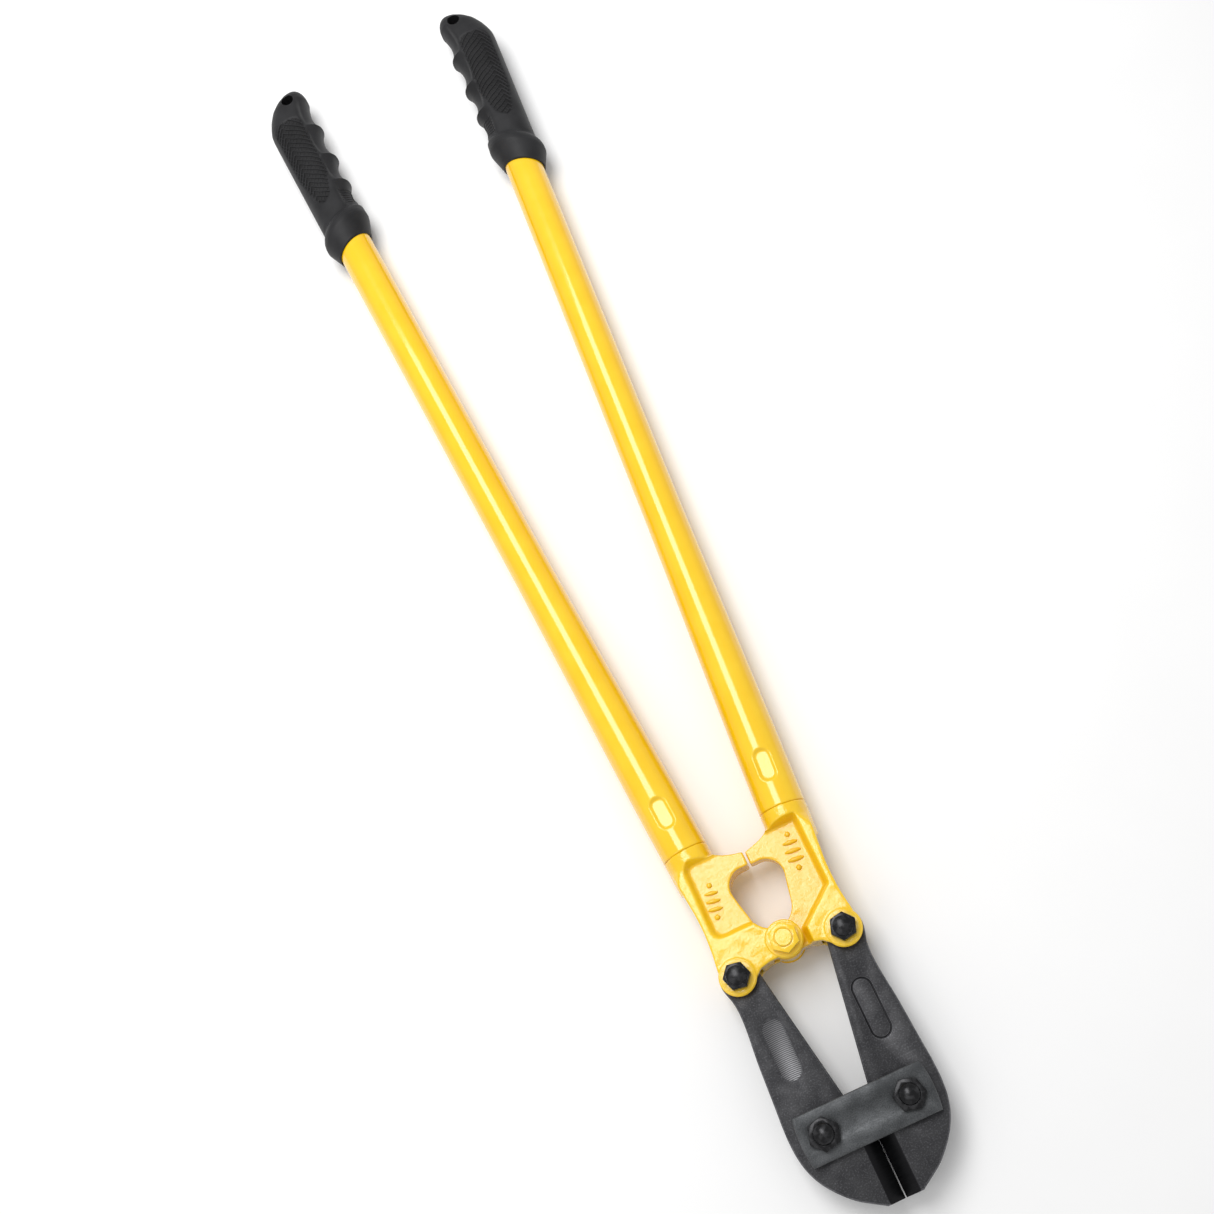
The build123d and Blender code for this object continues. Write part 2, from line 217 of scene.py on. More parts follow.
@dataclass(frozen=True)
class Enamel(Finish):
    """Yellow stoving enamel, sprayed and baked.

    A hard glossy coat: saturated, painted a deeper yellow as shade on the faces near the mid-plane, the
    recess floors and the sides, with the fine orange peel of the spray, and on a casting the slow ripple of
    the rough iron underneath.
    """

    colour: str = "#F8C80C"
    thin_colour: str = "#FBCE1E"
    # the deeper yellow below is painted shade for the low faces
    pooled_colour: str = "#F0B806"
    drift_mm: float = 22.0
    roughness: tuple[float, float] = (0.13, 0.22)
    coat: float = 0.6
    coat_roughness: float = 0.07
    peel_mm: float = 1.1
    peel_height_mm: float = 0.012
    ripple_mm: float = 5.0
    ripple_height_mm: float = 0.0
    rest_height: float = 0.02
    pooled_below: tuple[float, float] = (0.0095, 0.0128)
    pooled_share: float = 0.55

    def build(self) -> bpy.types.Material:
        """Builds the material."""
        material, tree, place = self.start()
        drift = add_node(tree, "ShaderNodeTexNoise", {"Vector": place, "Scale": per_metre(self.drift_mm),
                                                      "Detail": 3.0}).outputs["Fac"]
        thin = add_node(tree, "ShaderNodeMapRange", ramp(drift, 0.35, 0.65)).outputs["Result"]
        tone = add_node(tree, "ShaderNodeMix", between(thin, self.colour, self.thin_colour),
                        data_type="RGBA").outputs[MIX_RESULT]
        # painted shade: faces within 12.8 mm of the mid-plane, fully within 9.5 mm, take the deeper yellow;
        # these are recess floors and side walls
        height = add_node(tree, "ShaderNodeSeparateXYZ", {"Vector": place}).outputs["Z"]
        off = add_node(tree, "ShaderNodeMath", {0: height, 1: self.rest_height}, operation="SUBTRACT")
        depth = add_node(tree, "ShaderNodeMath", {0: off.outputs[0]}, operation="ABSOLUTE").outputs[0]
        recess_shade = add_node(tree, "ShaderNodeMapRange",
                          ramp(depth, *self.pooled_below, self.pooled_share, 0.0)).outputs["Result"]
        tone = add_node(tree, "ShaderNodeMix", between(recess_shade, tone, self.pooled_colour),
                        data_type="RGBA").outputs[MIX_RESULT]
        peel = add_node(tree, "ShaderNodeTexNoise", {"Vector": place, "Scale": per_metre(self.peel_mm),
                                                     "Detail": 2.0})
        bump = add_node(tree, "ShaderNodeBump", {"Height": peel.outputs["Fac"], "Strength": 1.0,
                                                 "Distance": self.peel_height_mm * MM})
        normal = bump.outputs["Normal"]
        if self.ripple_height_mm:
            ripple = add_node(tree, "ShaderNodeTexNoise", {"Vector": place, "Detail": 4.0, "Roughness": 0.6,
                                                           "Scale": per_metre(self.ripple_mm)})
            normal = add_node(tree, "ShaderNodeBump", {"Height": ripple.outputs["Fac"], "Strength": 1.0,
                                                       "Distance": self.ripple_height_mm * MM,
                                                       "Normal": normal}).outputs["Normal"]
        rough = add_node(tree, "ShaderNodeMapRange", ramp(drift, 0.3, 0.7, *self.roughness)).outputs["Result"]
        self.close(tree, {"Base Color": tone, "Roughness": rough, "Normal": normal, "IOR": 1.5,
                          "Coat Weight": self.coat, "Coat Roughness": self.coat_roughness})
        return material


@dataclass(frozen=True)
class Rubber(Finish):
    """Black moulded rubber, as it leaves a spark-eroded mould.

    Matt charcoal with a fine even grain, and a slightly paler bloom in slow patches.
    """

    colour: str = "#19191B"
    bloom_colour: str = "#242426"
    bloom_mm: float = 14.0
    grain_mm: float = 0.5
    grain_height_mm: float = 0.03
    roughness: tuple[float, float] = (0.5, 0.66)

    def build(self) -> bpy.types.Material:
        """Builds the material."""
        material, tree, place = self.start()
        bloom = add_node(tree, "ShaderNodeTexNoise", {"Vector": place, "Scale": per_metre(self.bloom_mm),
                                                      "Detail": 4.0})
        share = add_node(tree, "ShaderNodeMapRange", ramp(bloom.outputs["Fac"], 0.35, 0.65)).outputs["Result"]
        tone = add_node(tree, "ShaderNodeMix", between(share, self.colour, self.bloom_colour),
                        data_type="RGBA").outputs[MIX_RESULT]
        grain = add_node(tree, "ShaderNodeTexNoise", {"Vector": place, "Scale": per_metre(self.grain_mm),
                                                      "Detail": 3.0, "Roughness": 0.7}).outputs["Fac"]
        bump = add_node(tree, "ShaderNodeBump", {"Height": grain, "Strength": 0.8,
                                                 "Distance": self.grain_height_mm * MM})
        rough = add_node(tree, "ShaderNodeMapRange", ramp(grain, 0.3, 0.7, *self.roughness)).outputs["Result"]
        self.close(tree, {"Base Color": tone, "Roughness": rough, "Normal": bump.outputs["Normal"],
                          "IOR": 1.52, "Specular IOR Level": 0.3})
        return material


@dataclass(frozen=True)
class ForgedSteel(Finish):
    """Drop-forged tool steel, shot-blasted and blackened.

    A dark grey grain of tiny dents, each catching a little light, broken by slow darker clouds.
    """

    colour: str = "#363638"
    cloud_colour: str = "#28282B"
    speck_colour: str = "#66666A"
    cloud_mm: float = 9.0
    dent_mm: float = 1.0
    dent_height_mm: float = 0.07
    metallic: float = 0.5
    roughness: tuple[float, float] = (0.4, 0.56)

    def build(self) -> bpy.types.Material:
        """Builds the material."""
        material, tree, place = self.start()
        cloud = add_node(tree, "ShaderNodeTexNoise", {"Vector": place, "Scale": per_metre(self.cloud_mm),
                                                      "Detail": 5.0}).outputs["Fac"]
        share = add_node(tree, "ShaderNodeMapRange", ramp(cloud, 0.35, 0.68)).outputs["Result"]
        tone = add_node(tree, "ShaderNodeMix", between(share, self.colour, self.cloud_colour),
                        data_type="RGBA").outputs[MIX_RESULT]
        dents = add_node(tree, "ShaderNodeTexNoise", {"Vector": place, "Scale": per_metre(self.dent_mm),
                                                      "Detail": 4.0, "Roughness": 0.65}).outputs["Fac"]
        share = add_node(tree, "ShaderNodeMapRange", ramp(dents, 0.5, 0.74, 0.0, 0.6)).outputs["Result"]
        tone = add_node(tree, "ShaderNodeMix", between(share, tone, self.speck_colour),
                        data_type="RGBA").outputs[MIX_RESULT]
        bump = add_node(tree, "ShaderNodeBump", {"Height": dents, "Strength": 1.0,
                                                 "Distance": self.dent_height_mm * MM})
        rough = add_node(tree, "ShaderNodeMapRange", ramp(cloud, 0.3, 0.7, *self.roughness)).outputs["Result"]
        self.close(tree, {"Base Color": tone, "Roughness": rough, "Normal": bump.outputs["Normal"],
                          "Metallic": self.metallic})
        return material


@dataclass(frozen=True)
class GroundSteel(Finish):
    """Cutting bevels ground across the blade and hardened to a near-black blue oxide.

    Fine parallel scratches, drawn a little coarser than a real 120 grit so that they show.
    """

    colour: str = "#131315"
    streak_colour: str = "#29292B"
    streak_mm: float = 0.35
    streak_height_mm: float = 0.02
    stretch: tuple[float, float, float] = (0.08, 1.0, 0.08)
    metallic: float = 0.85
    roughness: tuple[float, float] = (0.3, 0.45)

    def build(self) -> bpy.types.Material:
        """Builds the material."""
        material, tree, place = self.start()
        run = add_node(tree, "ShaderNodeMapping", {"Vector": place, "Scale": self.stretch})
        streak = add_node(tree, "ShaderNodeTexNoise", {"Vector": run.outputs["Vector"], "Detail": 2.0,
                                                       "Scale": per_metre(self.streak_mm)}).outputs["Fac"]
        tone = add_node(tree, "ShaderNodeMix", between(streak, self.colour, self.streak_colour),
                        data_type="RGBA").outputs[MIX_RESULT]
        bump = add_node(tree, "ShaderNodeBump", {"Height": streak, "Strength": 0.6,
                                                 "Distance": self.streak_height_mm * MM})
        rough = add_node(tree, "ShaderNodeMapRange",
                         ramp(streak, 0.3, 0.7, *self.roughness)).outputs["Result"]
        self.close(tree, {"Base Color": tone, "Roughness": rough, "Normal": bump.outputs["Normal"],
                          "Metallic": self.metallic})
        return material


@dataclass(frozen=True)
class MilledSteel(Finish):
    """The floor of a milled pocket, left bare under a thin black.

    Mid grey with the arcs of the end mill, one per feed step.
    """

    centre: tuple[float, float, float]
    colour: str = "#39393B"
    crest_colour: str = "#6E6E70"
    feed_mm: float = 1.1
    arc_height_mm: float = 0.04
    metallic: float = 0.8
    roughness: tuple[float, float] = (0.5, 0.36)

    def build(self) -> bpy.types.Material:
        """Builds the material."""
        material, tree, place = self.start()
        middle = add_node(tree, "ShaderNodeMapping",
                          {"Vector": place, "Location": tuple(-c for c in self.centre)})
        arcs = add_node(tree, "ShaderNodeTexWave",
                        {"Vector": middle.outputs["Vector"], "Scale": per_metre(self.feed_mm) * WAVE_BAND,
                         "Distortion": 1.2, "Detail": 2.0, "Detail Scale": 1.5},
                        wave_type="RINGS", rings_direction="Z").outputs["Fac"]
        tone = add_node(tree, "ShaderNodeMix", between(arcs, self.colour, self.crest_colour),
                        data_type="RGBA").outputs[MIX_RESULT]
        bump = add_node(tree, "ShaderNodeBump", {"Height": arcs, "Strength": 0.7,
                                                 "Distance": self.arc_height_mm * MM})
        rough = add_node(tree, "ShaderNodeMapRange", ramp(arcs, 0.0, 1.0, *self.roughness)).outputs["Result"]
        self.close(tree, {"Base Color": tone, "Roughness": rough, "Normal": bump.outputs["Normal"],
                          "Metallic": self.metallic})
        return material


@dataclass(frozen=True)
class StrapSteel(Finish):
    """Rolled steel strap, blasted and blackened, then rubbed by handling.

    Dark grey with a fine even grit, paler in soft worn patches and with faint lengthwise rubs.
    """

    colour: str = "#37393B"
    rubbed_colour: str = "#5A5C5E"
    streak_mm: float = 1.2
    stretch: tuple[float, float, float] = (0.3, 1.0, 1.0)
    patch_mm: float = 16.0
    grit_mm: float = 0.7
    grit_height_mm: float = 0.03
    metallic: float = 0.55
    roughness: tuple[float, float] = (0.4, 0.54)

    def build(self) -> bpy.types.Material:
        """Builds the material."""
        material, tree, place = self.start()
        run = add_node(tree, "ShaderNodeMapping", {"Vector": place, "Scale": self.stretch})
        streak = add_node(tree, "ShaderNodeTexNoise", {"Vector": run.outputs["Vector"], "Detail": 3.0,
                                                       "Scale": per_metre(self.streak_mm)}).outputs["Fac"]
        patch = add_node(tree, "ShaderNodeTexNoise", {"Vector": place, "Scale": per_metre(self.patch_mm),
                                                      "Detail": 3.0}).outputs["Fac"]
        grit = add_node(tree, "ShaderNodeTexNoise", {"Vector": place, "Scale": per_metre(self.grit_mm),
                                                     "Detail": 3.0, "Roughness": 0.7}).outputs["Fac"]
        speckled = add_node(tree, "ShaderNodeMath", {0: grit, 1: patch}, operation="ADD").outputs[0]
        share = add_node(tree, "ShaderNodeMapRange", ramp(speckled, 0.85, 1.3)).outputs["Result"]
        tone = add_node(tree, "ShaderNodeMix", between(share, self.colour, self.rubbed_colour),
                        data_type="RGBA").outputs[MIX_RESULT]
        bump = add_node(tree, "ShaderNodeBump", {"Height": grit, "Strength": 0.7,
                                                 "Distance": self.grit_height_mm * MM})
        rough = add_node(tree, "ShaderNodeMapRange",
                         ramp(streak, 0.3, 0.7, *self.roughness)).outputs["Result"]
        self.close(tree, {"Base Color": tone, "Roughness": rough, "Normal": bump.outputs["Normal"],
                          "Metallic": self.metallic})
        return material


@dataclass(frozen=True)
class BlackOxide(Finish):
    """Machined steel fasteners, hot-blacked and oiled.

    Close to black, with a wet shine and a few rubbed paler spots.
    """

    colour: str = "#1B1B1D"
    rubbed_colour: str = "#3A3A3C"
    rub_mm: float = 3.5
    tool_mark_mm: float = 0.5
    tool_mark_height_mm: float = 0.012
    metallic: float = 0.6
    roughness: tuple[float, float] = (0.2, 0.34)

    def build(self) -> bpy.types.Material:
        """Builds the material."""
        material, tree, place = self.start()
        rub = add_node(tree, "ShaderNodeTexNoise", {"Vector": place, "Scale": per_metre(self.rub_mm),
                                                    "Detail": 5.0}).outputs["Fac"]
        share = add_node(tree, "ShaderNodeMapRange", ramp(rub, 0.45, 0.7)).outputs["Result"]
        tone = add_node(tree, "ShaderNodeMix", between(share, self.colour, self.rubbed_colour),
                        data_type="RGBA").outputs[MIX_RESULT]
        marks = add_node(tree, "ShaderNodeTexNoise", {"Vector": place, "Scale": per_metre(self.tool_mark_mm),
                                                      "Detail": 2.0}).outputs["Fac"]
        bump = add_node(tree, "ShaderNodeBump", {"Height": marks, "Strength": 0.4,
                                                 "Distance": self.tool_mark_height_mm * MM})
        rough = add_node(tree, "ShaderNodeMapRange", ramp(rub, 0.3, 0.7, *self.roughness)).outputs["Result"]
        self.close(tree, {"Base Color": tone, "Roughness": rough, "Normal": bump.outputs["Normal"],
                          "Metallic": self.metallic})
        return material


@dataclass(frozen=True)
class StudioPaper(Finish):
    """Seamless background paper: matt, almost white, with the faintest mottle."""

    colour: str = "#FAFAFA"
    mottle_colour: str = "#FDFDFD"
    mottle_mm: float = 60.0

    def build(self) -> bpy.types.Material:
        """Builds the material."""
        material, tree, place = self.start()
        mottle = add_node(tree, "ShaderNodeTexNoise", {"Vector": place, "Scale": per_metre(self.mottle_mm),
                                                       "Detail": 2.0}).outputs["Fac"]
        tone = add_node(tree, "ShaderNodeMix", between(mottle, self.colour, self.mottle_colour),
                        data_type="RGBA").outputs[MIX_RESULT]
        self.close(tree, {"Base Color": tone, "Roughness": 0.9, "Specular IOR Level": 0.1})
        return material


# ---------------------------------------------------------------- places and meshes


@dataclass(frozen=True)
class Datum:
    """The centre pivot, in metres, from which the pieces' own millimetres are measured."""

    origin: tuple[float, float, float]

    @classmethod
    def of(cls, frame: dict) -> "Datum":
        """Reads the pivot from the handles' joint."""
        joint = next(j for j in frame["joints"] if j["name"] == "handle_fold")
        return cls(tuple(joint["pos_m"]))

    def place(self, points: np.ndarray) -> np.ndarray:
        """Turns millimetres from the pivot to metres in the shared frame."""
        return np.asarray(points, float) * MM + np.array(self.origin)


@dataclass(frozen=True)
class HandleAxis:
    """The leaning line that a handle, its tube and its grip are drawn along.

    Along it runs the distance from the pivot's line, and outwards the distance from the line itself.
    """

    splay_degrees: float = 3.96
    start_x: float = 28.4

    def place(self, along: np.ndarray, outward: np.ndarray, up: np.ndarray, side: Side) -> np.ndarray:
        """Turns handle measures to millimetres from the pivot.

        Args:
            along: distances along the handle.
            outward: distances away from the tool's middle.
            up: heights above the linkage's mid-plane.
            side: which handle.

        Returns:
            An array of points, one row each.
        """
        lean = math.radians(self.splay_degrees)
        x = self.start_x + outward * math.cos(lean) + along * math.sin(lean)
        y = along * math.cos(lean) - outward * math.sin(lean)
        return np.stack([np.ravel(side.value * x), np.ravel(y), np.ravel(up)], axis=1)


def smooth_step(value: np.ndarray, low: float, high: float) -> np.ndarray:
    """Rises from nought to one between two values, level at both ends."""
    t = np.clip((np.asarray(value, float) - low) / (high - low), 0.0, 1.0)
    return t * t * (3.0 - 2.0 * t)


def grid_faces(rows: int, columns: int, close_rows: bool = False) -> list[tuple[int, int, int, int]]:
    """Faces of a grid whose columns close into rings.

    Args:
        rows: how many rings.
        columns: points in each ring.
        close_rows: whether the last ring joins the first.

    Returns:
        Four point numbers for each face.
    """
    faces = []
    for i in range(rows if close_rows else rows - 1):
        below, above = i * columns, ((i + 1) % rows) * columns
        for j in range(columns):
            k = (j + 1) % columns
            faces.append((below + j, below + k, above + k, above + j))
    return faces


def new_object(name: str, points: np.ndarray, faces: Sequence[Sequence[int]],
               slots: Sequence[int] | None = None) -> bpy.types.Object:
    """Makes a mesh object at the origin, merged and facing outwards.

    Args:
        name: the object's name.
        points: its points in metres.
        faces: the point numbers of each face.
        slots: the material number of each face, where it has more than one.

    Returns:
        The new object.
    """
    mesh = bpy.data.meshes.new(name)
    mesh.from_pydata([tuple(p) for p in np.asarray(points, float)], [], faces)
    if slots is not None:
        mesh.polygons.foreach_set("material_index", slots)
    obj = bpy.data.objects.new(name, mesh)
    bpy.context.scene.collection.objects.link(obj)
    rework(obj, lambda form: bmesh.ops.recalc_face_normals(form, faces=form.faces))
    return obj


def rework(obj: bpy.types.Object, change: Any) -> None:
    """Runs a change on the object's mesh, after points in the same place are merged."""
    form = bmesh.new()
    form.from_mesh(obj.data)
    bmesh.ops.remove_doubles(form, verts=form.verts, dist=MERGE_DISTANCE)
    bmesh.ops.dissolve_degenerate(form, edges=form.edges, dist=MERGE_DISTANCE / 2)
    change(form)
    form.to_mesh(obj.data)
    form.free()


def cad_copy(node: bpy.types.Object, name: str) -> bpy.types.Object:
    """A merged copy of a CAD node's mesh, to be worked into the finished piece."""
    points = np.array([v.co for v in node.data.vertices], float)
    faces = [tuple(p.vertices) for p in node.data.polygons]
    mesh = bpy.data.meshes.new(name)
    mesh.from_pydata([tuple(p) for p in points], [], faces)
    obj = bpy.data.objects.new(name, mesh)
    bpy.context.scene.collection.objects.link(obj)
    rework(obj, lambda form: None)
    return obj


def freeze(obj: bpy.types.Object) -> None:
    """Turns the object and its modifiers into a plain mesh."""
    graph = bpy.context.evaluated_depsgraph_get()
    graph.update()
    done = bpy.data.meshes.new_from_object(obj.evaluated_get(graph))
    obj.modifiers.clear()
    old, obj.data = obj.data, done
    bpy.data.meshes.remove(old)


def shade(obj: bpy.types.Object, crease_degrees: float = 35.0) -> None:
    """Shades the mesh smooth, except across edges sharper than the crease."""
    obj.data.shade_smooth()
    obj.data.set_sharp_from_angle(angle=math.radians(crease_degrees))


def join(base: bpy.types.Object, others: Sequence[bpy.types.Object]) -> None:
    """Adds the other objects' meshes to the base's."""
    group = [base, *others]
    with bpy.context.temp_override(active_object=base, object=base, selected_objects=group,
                                   selected_editable_objects=group):
        bpy.ops.object.join()


def turned(name: str, profile: Sequence[tuple[float, float]], centre: tuple[float, float],
           datum: Datum, segments: int = 72) -> bpy.types.Object:
    """A turned piece standing along Z.

    Args:
        name: the object's name.
        profile: radius and height pairs in millimetres, from one end on the axis to the other.
        centre: X and Y of its axis, in millimetres from the pivot.
        datum: the pivot.
        segments: how many sides it is drawn with.

    Returns:
        The closed, smooth-shaded object.
    """
    angles = np.linspace(0, 2 * math.pi, segments, endpoint=False)
    rings = [np.stack([centre[0] + r * np.cos(angles), centre[1] + r * np.sin(angles),
                       np.full(segments, z)], axis=1) for r, z in profile]
    obj = new_object(name, datum.place(np.concatenate(rings)), grid_faces(len(profile), segments))
    shade(obj)
    return obj


def arc(centre: tuple[float, float], radius: float, start: float, end: float, steps: int = 8) -> list:
    """Points on an arc, in degrees, as radius and height pairs for a turned profile."""
    return [(centre[0] + radius * math.cos(math.radians(a)), centre[1] + radius * math.sin(math.radians(a)))
            for a in np.linspace(start, end, steps)]


def dress(obj: bpy.types.Object, materials: Sequence[bpy.types.Material], slot: str, body: str,
          nodes: Sequence[str]) -> None:
    """Gives a finished piece its materials and its body, and hides the CAD nodes that it stands for."""
    if materials:
        obj.data.materials.clear()
        for material in materials:
            obj.data.materials.append(material)
    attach(obj, body)
    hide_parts(*nodes)
    LOG.info("%s: %d faces on %s", obj.name, len(obj.data.polygons), body)


@dataclass
class BeadField:
    """Small raised beads set on a surface by Geometry Nodes, one on each point it is given.

    The beads lie along each point's heading and stand on its normal. Knurling, ribs and the marks
    cast into a pocket are all made of them.
    """

    length: float
    width: float
    height: float
    segments: int = 8
    rings: int = 6
    seed: int = 7
    spread: float = 0.06

    def tree(self, material: bpy.types.Material) -> tuple[bpy.types.NodeTree, dict[str, str]]:
        """Builds the node group.

        Args:
            material: what the beads are made of.

        Returns:
            The group, and the identifier of each of its size inputs.
        """
        group = bpy.data.node_groups.new("bead_field", "GeometryNodeTree")
        face = group.interface
        face.new_socket("Points", in_out="INPUT", socket_type="NodeSocketGeometry")
        sizes = {name: face.new_socket(name, in_out="INPUT", socket_type="NodeSocketFloat").identifier
                 for name in ("Length", "Width", "Height", "Spread")}
        face.new_socket("Beads", in_out="OUTPUT", socket_type="NodeSocketGeometry")
        given = add_node(group, "NodeGroupInput").outputs
        bead = add_node(group, "GeometryNodeMeshUVSphere",
                        {"Segments": self.segments, "Rings": self.rings, "Radius": 0.5})
        size = add_node(group, "ShaderNodeCombineXYZ", {"X": given["Length"], "Y": given["Width"],
                                                        "Z": given["Height"]})
        shaped = add_node(group, "GeometryNodeTransform", {"Geometry": bead.outputs["Mesh"],
                                                           "Scale": size.outputs["Vector"]})
        heading = add_node(group, "GeometryNodeInputNamedAttribute", {"Name": "heading"},
                           data_type="FLOAT_VECTOR")
        upright = add_node(group, "GeometryNodeInputNamedAttribute", {"Name": "upright"},
                           data_type="FLOAT_VECTOR")
        turn = add_node(group, "FunctionNodeAxesToRotation",
                        {"Primary Axis": upright.outputs["Attribute"],
                         "Secondary Axis": heading.outputs["Attribute"]},
                        primary_axis="Z", secondary_axis="X")
        least = add_node(group, "ShaderNodeMath", {0: 1.0, 1: given["Spread"]}, operation="SUBTRACT")
        most = add_node(group, "ShaderNodeMath", {0: 1.0, 1: given["Spread"]}, operation="ADD")
        vary = add_node(group, "FunctionNodeRandomValue", {"Seed": self.seed}, data_type="FLOAT")
        scale = next(s for s in vary.outputs if s.enabled and s.type == "VALUE")
        for name, end in (("Min", least), ("Max", most)):
            for socket in vary.inputs:
                if socket.name == name and socket.enabled:
                    group.links.new(end.outputs[0], socket)
        placed = add_node(group, "GeometryNodeInstanceOnPoints",
                          {"Points": given["Points"], "Instance": shaped.outputs["Geometry"],
                           "Rotation": turn.outputs["Rotation"], "Scale": scale})
        real = add_node(group, "GeometryNodeRealizeInstances", {"Geometry": placed.outputs["Instances"]})
        coated = add_node(group, "GeometryNodeSetMaterial", {"Geometry": real.outputs["Geometry"],
                                                             "Material": material})
        add_node(group, "NodeGroupOutput", {"Beads": coated.outputs["Geometry"]})
        return group, sizes

    def build(self, name: str, points: np.ndarray, headings: np.ndarray, uprights: np.ndarray,
              material: bpy.types.Material) -> bpy.types.Object:
        """Sets a bead on each point.

        Args:
            name: the object's name.
            points: places in metres.
            headings: the way each bead's length runs.
            uprights: the surface's normal at each point.
            material: what the beads are made of.

        Returns:
            The beads as one plain mesh.
        """
        mesh = bpy.data.meshes.new(name)
        mesh.from_pydata([tuple(p) for p in points], [], [])
        for label, values in (("heading", headings), ("upright", uprights)):
            attribute = mesh.attributes.new(label, "FLOAT_VECTOR", "POINT")
            attribute.data.foreach_set("vector", np.ravel(values).astype(np.float32))
        obj = bpy.data.objects.new(name, mesh)
        bpy.context.scene.collection.objects.link(obj)
        group, sizes = self.tree(material)
        modifier = obj.modifiers.new("beads", "NODES")
        modifier.node_group = group
        for label, value in (("Length", self.length * MM), ("Width", self.width * MM),
                             ("Height", self.height * MM), ("Spread", self.spread)):
            modifier[sizes[label]] = value
        freeze(obj)
        obj.data.shade_smooth()
        return obj


# ---------------------------------------------------------------- sub-assemblies


@dataclass
class Castings:
    """The two yellow iron castings that carry the pivots and the handle tubes.

    Each is the CAD casting with its edges worn round by the sand mould, a slow unevenness over its
    faces, crisp machined rings round its pivots and a row of generic raised marks in its recess.
    """

    datum: Datum
    axis: HandleAxis
    voxel: float = 0.6
    rounding_steps: int = 7
    cut_at: float = 79.0
    lump: float = 0.16
    lump_size: float = 7.0
    ear: tuple[float, float] = (35.1, -8.8)
    face: float = 13.5
    ring_radius: float = 11.1
    ring_step: float = 9.7
    ring_rise: float = 0.98
    panel_height: float = 6.0
    pocket_height: float = 9.5

    def cut_spigot(self, obj: bpy.types.Object, side: Side) -> None:
        """Takes off the spigot where it disappears into the tube, to save faces."""
        ends = self.axis.place(np.array([self.cut_at, self.cut_at + 1]), np.zeros(2), np.zeros(2), side)
        point, beyond = (Vector(p) for p in self.datum.place(ends))

        def slice_off(form: bmesh.types.BMesh) -> None:
            """Cuts the mesh and closes the cut."""
            whole = list(form.verts) + list(form.edges) + list(form.faces)
            cut = bmesh.ops.bisect_plane(form, geom=whole, dist=1e-7, plane_co=point,
                                         plane_no=(beyond - point).normalized(), clear_outer=True)
            rim = [e for e in cut["geom_cut"] if isinstance(e, bmesh.types.BMEdge)]
            bmesh.ops.edgeloop_fill(form, edges=rim)

        rework(obj, slice_off)

    def weather(self, obj: bpy.types.Object) -> None:
        """Gives the faces the slow unevenness of a sand casting."""
        mesh = obj.data
        count = len(mesh.vertices)
        points, normals = np.zeros(count * 3), np.zeros(count * 3)
        mesh.vertices.foreach_get("co", points)
        mesh.vertices.foreach_get("normal", normals)
        points = points.reshape(-1, 3)
        scale = 1.0 / (self.lump_size * MM)
        lift = np.array([noise.noise(Vector(p) * scale) for p in points]) * self.lump * MM
        points += normals.reshape(-1, 3) * lift[:, None]
        mesh.vertices.foreach_set("co", np.ravel(points))
        mesh.update()

    def ring(self, name: str, centre: tuple[float, float], up: int) -> bpy.types.Object:
        """A machined ring standing round a pivot, above or below."""
        rise, outer, step = self.ring_rise, self.ring_radius, self.ring_step
        profile = [(0.0, 0.0), (outer + 0.5, 0.0), (outer + 0.15, 0.25),
                   *arc((outer - 0.3, rise - 0.45), 0.3, 0, 90, 5),
                   (step + 0.3, rise - 0.15), *arc((step - 0.2, rise - 0.15), 0.15, 0, 90, 4), (0.0, rise)]
        heights = [(r, up * (self.face + z)) for r, z in profile]
        return turned(name, heights, centre, self.datum)

    def marks(self, name: str, side: Side, enamel: bpy.types.Material) -> list[bpy.types.Object]:
        """Generic raised marks in the recess: a run of upright bars and a pip at each end."""
        up = np.array([0.0, 0.0, 1.0])
        if side is Side.LEFT:
            height, middle, lean = self.pocket_height, (29.6, 39.0), 100.0
            bars, gap, bar = 3, 5.0, BeadField(9.5, 2.8, 4.4, 16, 10)
        else:
            height, middle, lean = self.panel_height, (28.0, 47.0), 84.0
            bars, gap, bar = 3, 5.4, BeadField(10.5, 3.0, 4.4, 16, 10)
        pip = BeadField(3.6, 3.6, 3.6, 16, 10)
        run = np.array([math.cos(math.radians(lean)), math.sin(math.radians(lean)), 0.0])
        across = np.array([run[1], -run[0], 0.0])
        offsets = (np.arange(bars) - (bars - 1) / 2) * gap
        made = []
        for level in (1, -1):
            centre = np.array([middle[0], middle[1], level * height])
            spots = centre + offsets[:, None] * run
            ends = centre + np.array([[-1.0], [1.0]]) * run * (offsets[-1] + gap)
            for field, places, way in ((bar, spots, across), (pip, ends, run)):
                places, way = places * [side.value, 1, 1], way * [side.value, 1, 1]
                made.append(field.build(name, self.datum.place(places), np.tile(way, (len(places), 1)),
                                        np.tile(up * level, (len(places), 1)), enamel))
        return made

    def build(self, frame: dict, enamel: bpy.types.Material) -> None:
        """Builds and dresses both castings."""
        for side in Side:
            node = f"{side.word}_handle_casting"
            skin = cad_copy(frame["nodes"][node], f"{node}_skin")
            self.cut_spigot(skin, side)
            cover = skin.modifiers.new("cover", "REMESH")
            cover.mode = "VOXEL"
            cover.voxel_size = self.voxel * MM
            soften = skin.modifiers.new("soften", "SMOOTH")
            soften.factor = 0.5
            soften.iterations = self.rounding_steps
            freeze(skin)
            self.weather(skin)
            skin.data.shade_smooth()
            pivots = [(side.value * self.ear[0], self.ear[1])]
            if side is Side.LEFT:
                pivots.append((0.0, 0.0))
            extras = [self.ring("ring", centre, up) for centre in pivots for up in (1, -1)]
            extras += self.marks("marks", side, enamel)
            join(skin, extras)
            dress(skin, [enamel], "cast_yellow_enamel", f"{side.word}_handle", [node])


